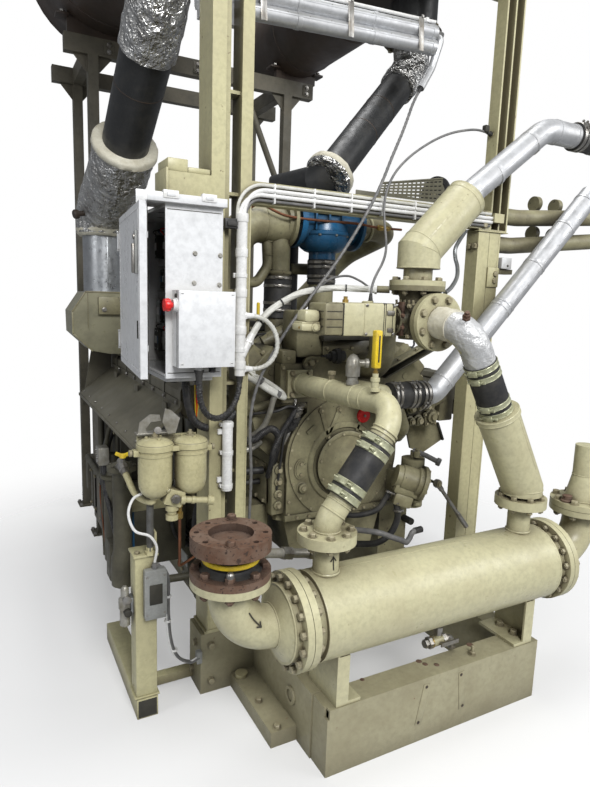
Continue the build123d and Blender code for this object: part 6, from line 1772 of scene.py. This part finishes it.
for side in (-1, 1):
    for y in (2620, 3140):
        p.bolt((side * 300, y, 600), UP, 30, 18, "bolt")
        p.bolt((side * 440, y, 600), UP, 30, 18, "bolt")
p.done()

# Skid
p = Piece("skid_fittings", "beam", "bolt", "black_and_hole_shade", "rust")
for side in (-1, 1):
    for y in (900, 1500, 2100, 2700, 3200):
        p.box((side * 505 - 3, y - 4, 4), (side * 505 + 3, y + 4, 246), 1.5)
    for y in (200, 3340):
        p.lathe((side * 505, y, 150), (side, 0, 0), [(-2, 34), (8, 34), (8, 22), (2, 22)], 28)
        # painted shade: a dark disc stands for the depth of the lifting hole
        p.rod((side * 503, y, 150), (side, 0, 0), 21.5, 2.4, 24, "black_and_hole_shade")
    for y in (858, 912, 2108, 2162):
        p.bolt((side * 455, y, 290), UP, 28, 20, "bolt")
    p.box((side * 455 - 52, 50, 249), (side * 455 + 52, 56, 252), 1)
    for y in (560, 660):
        p.bolt((side * 640, y, 260), UP, 24, 14, "bolt")
    for y in (170, 330, 500):
        p.bolt((side * 575, y, 60), UP, 22, 12, "bolt")
for k in range(3):
    p.lathe((-300 + 260 * k, 44, 251), UP, [(-1, 9 + 3 * k), (0.6, 7 + 3 * k), (0.8, 0)], 9, "rust")
p.done()

# Twists and ribs that follow the cords' own splines
def spline_line(name, step):
    """Points in mm at even steps along a cord's spline."""
    curve = bpy.data.objects[name].data.copy()
    curve.bevel_depth = 0
    line = bpy.data.objects.new("line", curve)
    mesh = bpy.data.meshes.new_from_object(line)
    points = [v.co / MM for v in mesh.vertices]
    bpy.data.meshes.remove(mesh)
    bpy.data.objects.remove(line)
    bpy.data.curves.remove(curve)
    even = [points[0]]
    for q in points[1:]:
        while (q - even[-1]).length >= step:
            even.append(even[-1] + (q - even[-1]).normalized() * step)
    return even


def twist(piece, line, look, offset, radius, turn, count=1, seg=8):
    """Round strands wound about a line, turn radians for each point."""
    for c in range(count):
        strand = []
        for i in range(1, len(line) - 1):
            way = (line[i + 1] - line[i - 1]).normalized()
            u = way.cross(Vector(BACK)).normalized()
            v = way.cross(u)
            a = i * turn + 2 * math.pi * c / count
            strand.append(line[i] + (u * math.cos(a) + v * math.sin(a)) * offset)
        piece.tube(strand, radius, seg, look)


p = Piece("cable_twists", "cable", "white_cable", "loom", "rubber")
twist(p, spline_line("long_grey_cable", 6), "cable", 3.6, 3.3, 0.62, 2)
twist(p, spline_line("white_cable_bundle", 12), "white_cable", 8.2, 5.6, 0.16, 3)
twist(p, spline_line("white_cable_loop", 2.2), "white_cable", 8.0, 2.3, 0.85, 1, 6)
twist(p, spline_line("box_loom", 2), "loom", 9.6, 3.0, 1.15, 1, 6)
ties = spline_line("white_cable_bundle", 12)
for i in (7, 17, 30, 41):
    p.lathe(ties[i], ties[i + 1] - ties[i], [(-3, 13), (-3, 15), (3, 15), (3, 13)], 18, "rubber")
p.done()

# Dark gaskets in the valve's flanges
p = Piece("flange_gaps", "black_and_hole_shade")
p.bead((VALVE_X, VALVE_Y, 1664), UP, 100, 4, 0.8)
p.bead((VALVE_X, 223, VALVE_Z), BACK, 100, 4, 0.8)
p.done()

# Bracket and screws of the three-way valve
p = Piece("valve_support", "engine", "bolt", "shade_paint", "rust")
p.block((275, 642, 1350), (300, 60, 8), (250, 0, 112), (-112, 0, 250), 2)
# painted shade: the web and the lower plate under the top plate are in the dark shade paint
p.block((281, 668, 1334), (300, 8, 40), (250, 0, 112), (-112, 0, 250), 2, "shade_paint")
p.block((289, 642, 1318), (300, 60, 8), (250, 0, 112), (-112, 0, 250), 2, "shade_paint")
for t in (-110, -50, 60, 120):
    q = Vector((275, 625, 1356)) + Vector((0.912, 0, 0.409)) * t
    p.bolt(q, (-0.41, 0, 0.912), 14, 8, "bolt")
p.box((-20, 300, 1470), (-8, 330, 1600), 1, "rust")
for k in range(5):
    p.lathe((2, 262 + 26 * k, 1590), (-0.2, 0, 1), [(0, 9), (3, 9), (5, 5), (18, 5)], 6, "bolt")
for k in range(9):
    a = 2 * math.pi * k / 9
    p.bolt((18 + 66 * math.cos(a), 268, VALVE_Z + 66 * math.sin(a)), FRONT, 13, 8,
           "rust" if k % 3 else "bolt")
p.done()

# Box, cable, handwheel and clamps at the right post
p = Piece("right_post_boxes", "white", "engine", "black_and_hole_shade", "bolt", "rubber", "galvanised")
p.box((735, 540, 1768), (800, 586, 1820), 3)
p.lathe((775, 540, 1782), FRONT, [(0, 6), (1.2, 5)], 14, "black_and_hole_shade")
p.box((660, 552, 1744), (822, 600, 1767), 2, "engine")
p.bolt((700, 552, 1720), FRONT, 16, 9, "bolt")
p.hose([(516, 560, 1930), (499, 600, 1856), (486, 585, 1806), (452, 530, 1762), (380, 450, 1712),
        (300, 390, 1668), (231, 350, 1641)], 8, 9, 12, "galvanised")
HANDWHEEL, HANDWHEEL_WAY = (600, 900, 2138), (1, 0.2, 0)
p.lathe(HANDWHEEL, HANDWHEEL_WAY, [(0, 20), (0, 74), (6, 88), (22, 88), (28, 74), (28, 20)], 36, "rubber")
p.lathe(HANDWHEEL, HANDWHEEL_WAY, [(-4, 14), (40, 14)], 16, "bolt")
p.box((628, 600, 2122), (640, 925, 2154), 2, "engine")
for k in range(5):
    a = 2 * math.pi * k / 5
    out = Vector((0, math.cos(a), math.sin(a)))
    p.block(Vector((611, 902, 2138)) + out * 42, (70, 12, 10), out, RIGHT, 2, "rubber")
p.box((575, 548, 2360), (600, 572, 2390), 4, "black_and_hole_shade")
for x in (1021, 1169):
    for z in (1959, 2103):
        p.sleeve((x, 640, z), RIGHT, 30, 36, 26, 24, "engine")
p.done()

# Dark equipment under the left guard: painted shade, dark parts that fill a region where only shade shows
p = Piece("dark_side_machinery", "shade_paint", "dark_frame", "steel", "loom", "copper", "blue", "bolt",
          "guard", "bracket")
p.box((-850, 1480, 600), (-560, 2120, 940), 12)
p.box((-862, 1500, 640), (-846, 2100, 900), 6)
for y in (1540, 1680, 1820, 1960, 2060):
    for z in (660, 880):
        p.bolt((-863, y, z), LEFT, 16, 9, "bolt")
p.box((-880, 1260, 250), (-570, 2200, 560), 14)
for y in (1330, 1500, 1670, 1840, 2010, 2150):
    p.box((-884, y, 270), (-876, y + 60, 540), 3)
    p.bolt((-884, y + 30, 300), LEFT, 16, 9, "bolt")
    p.bolt((-884, y + 30, 505), LEFT, 16, 9, "bolt")
p.lathe((-905, 1400, 250), UP, [(0, 40), (10, 46), (430, 46), (436, 60), (452, 60), (456, 40), (500, 26),
                                (560, 26)], 28)
p.box((-979, 1360, 761), (-928, 1440, 848), 4, "bracket")
for k in range(4):
    p.bolt((-979, 1375 + 16 * k, 775 + 18 * k), LEFT, 9, 5, "steel")
p.box((-971, 1160, 250), (-885, 1250, 439), 6)
p.hose([(-940, 1400, 770), (-945, 1390, 640), (-930, 1330, 520), (-925, 1220, 430)], 10, 13, 12, "loom")
p.hose([(-905, 1600, 250), (-915, 1600, 520), (-900, 1580, 800), (-840, 1560, 960)], 10, 20, 14, "loom")
p.hose([(-935, 1480, 250), (-940, 1470, 560), (-920, 1450, 880), (-880, 1430, 985)], 10, 11, 12)
p.hose([(-930, MIXER_Y, 560), (-940, 1060, 480), (-945, 1150, 380), (-950, 1260, 300)], 10, 3.5, 8, "blue")
p.hose([(-950, 1500, 620), (-952, 1490, 560), (-948, 1470, 470), (-940, 1450, 330)], 10, 4.5, 8, "copper")
p.pipe([(-905, 1700, 960), (-905, 1700, 590), (-905, 2180, 590)], 60, 8, 80, 17, 14)
p.box((-882, 1290, 560), (-640, 1470, 640), 10)
p.box((-884, 1690, 236), (-876, 2112, 965), 1.5, "dark_frame")
p.plate([(-876, 2146, 1252), (-934, 2146, 921), (-911, 2146, 920), (-763, 2146, 1094), (-760, 2146, 1250)],
        BACK, 8, "guard")
for x in (-927, -918):
    p.tube(dense([(x, 905, 426), (x, 905, 760)], 80), 4.5, 10, "blue")
p.done()

# Flow arrows painted on the pipes
def arrow(piece, points, normal):
    """A flat painted arrow along a line of points."""
    line = smooth(points, 5)
    out = Vector(normal).normalized()
    for a, b in zip(line, line[1:]):
        piece.block((a + b) / 2, ((b - a).length + 1, 4, 1.6), b - a, out, 0.2)
    tip = (line[-1] - line[-2]).normalized()
    for side in (-1, 1):
        wing = (-tip + out.cross(tip) * side * 0.7).normalized()
        piece.block(line[-1] + wing * 8, (20, 4, 1.6), wing, out, 0.2)


p = Piece("flow_arrows", "black_and_hole_shade")
arrow(p, [(-468, 5, 721), (-470, 5, 744), (-471, 5, 767)], FRONT)
arrow(p, [(-778, -15, 651), (-762, -17, 626), (-737, -17, 596)], (0.27, -0.93, 0.23))
p.done()

# Small pipe between the inlet and the left nozzle
p = Piece("left_flange_pipe", "bracket", "steel", "rust")
p.tube(dense([(-639, 200, 731), (-430, 200, 693)], 60), 17, 18)
p.sleeve((-560, 200, 717), (1, 0, -0.18), 19, 24, 36, 6, "steel")
p.lathe((-455, 200, 698), (1, 0, -0.18), [(0, 19), (0, 23), (26, 23)], 6, "steel")
p.lathe((722, 50, 768), UP, [(0, 24), (20, 26), (24, 20), (40, 20), (42, 12)], 20, "rust")
p.done()

# Body and outlet of the drain tap
p = Piece("drain_tap_body", "steel", "brass")
p.lathe((50, 50, 336), UP, [(0, 16), (16, 16), (17, 20), (34, 20), (36, 14), (52, 14)], 6)
p.lathe((8, 50, 310), LEFT, [(-10, 23), (6, 23), (7, 17), (22, 17)], 6)
p.lathe((80, 50, 310), RIGHT, [(-10, 23), (5, 23), (6, 15), (14, 15)], 6)
p.hose([(90, 50, 310), (112, 50, 306), (124, 50, 290), (126, 50, 266)], 6, [13] * 4 + [12] * 15, 16)
p.lathe((126, 50, 272), DOWN, [(0, 12), (2, 15), (10, 15), (12, 11)], 16)
p.bead((20, 50, 310), RIGHT, 20, 6, 2, "brass")
p.done()
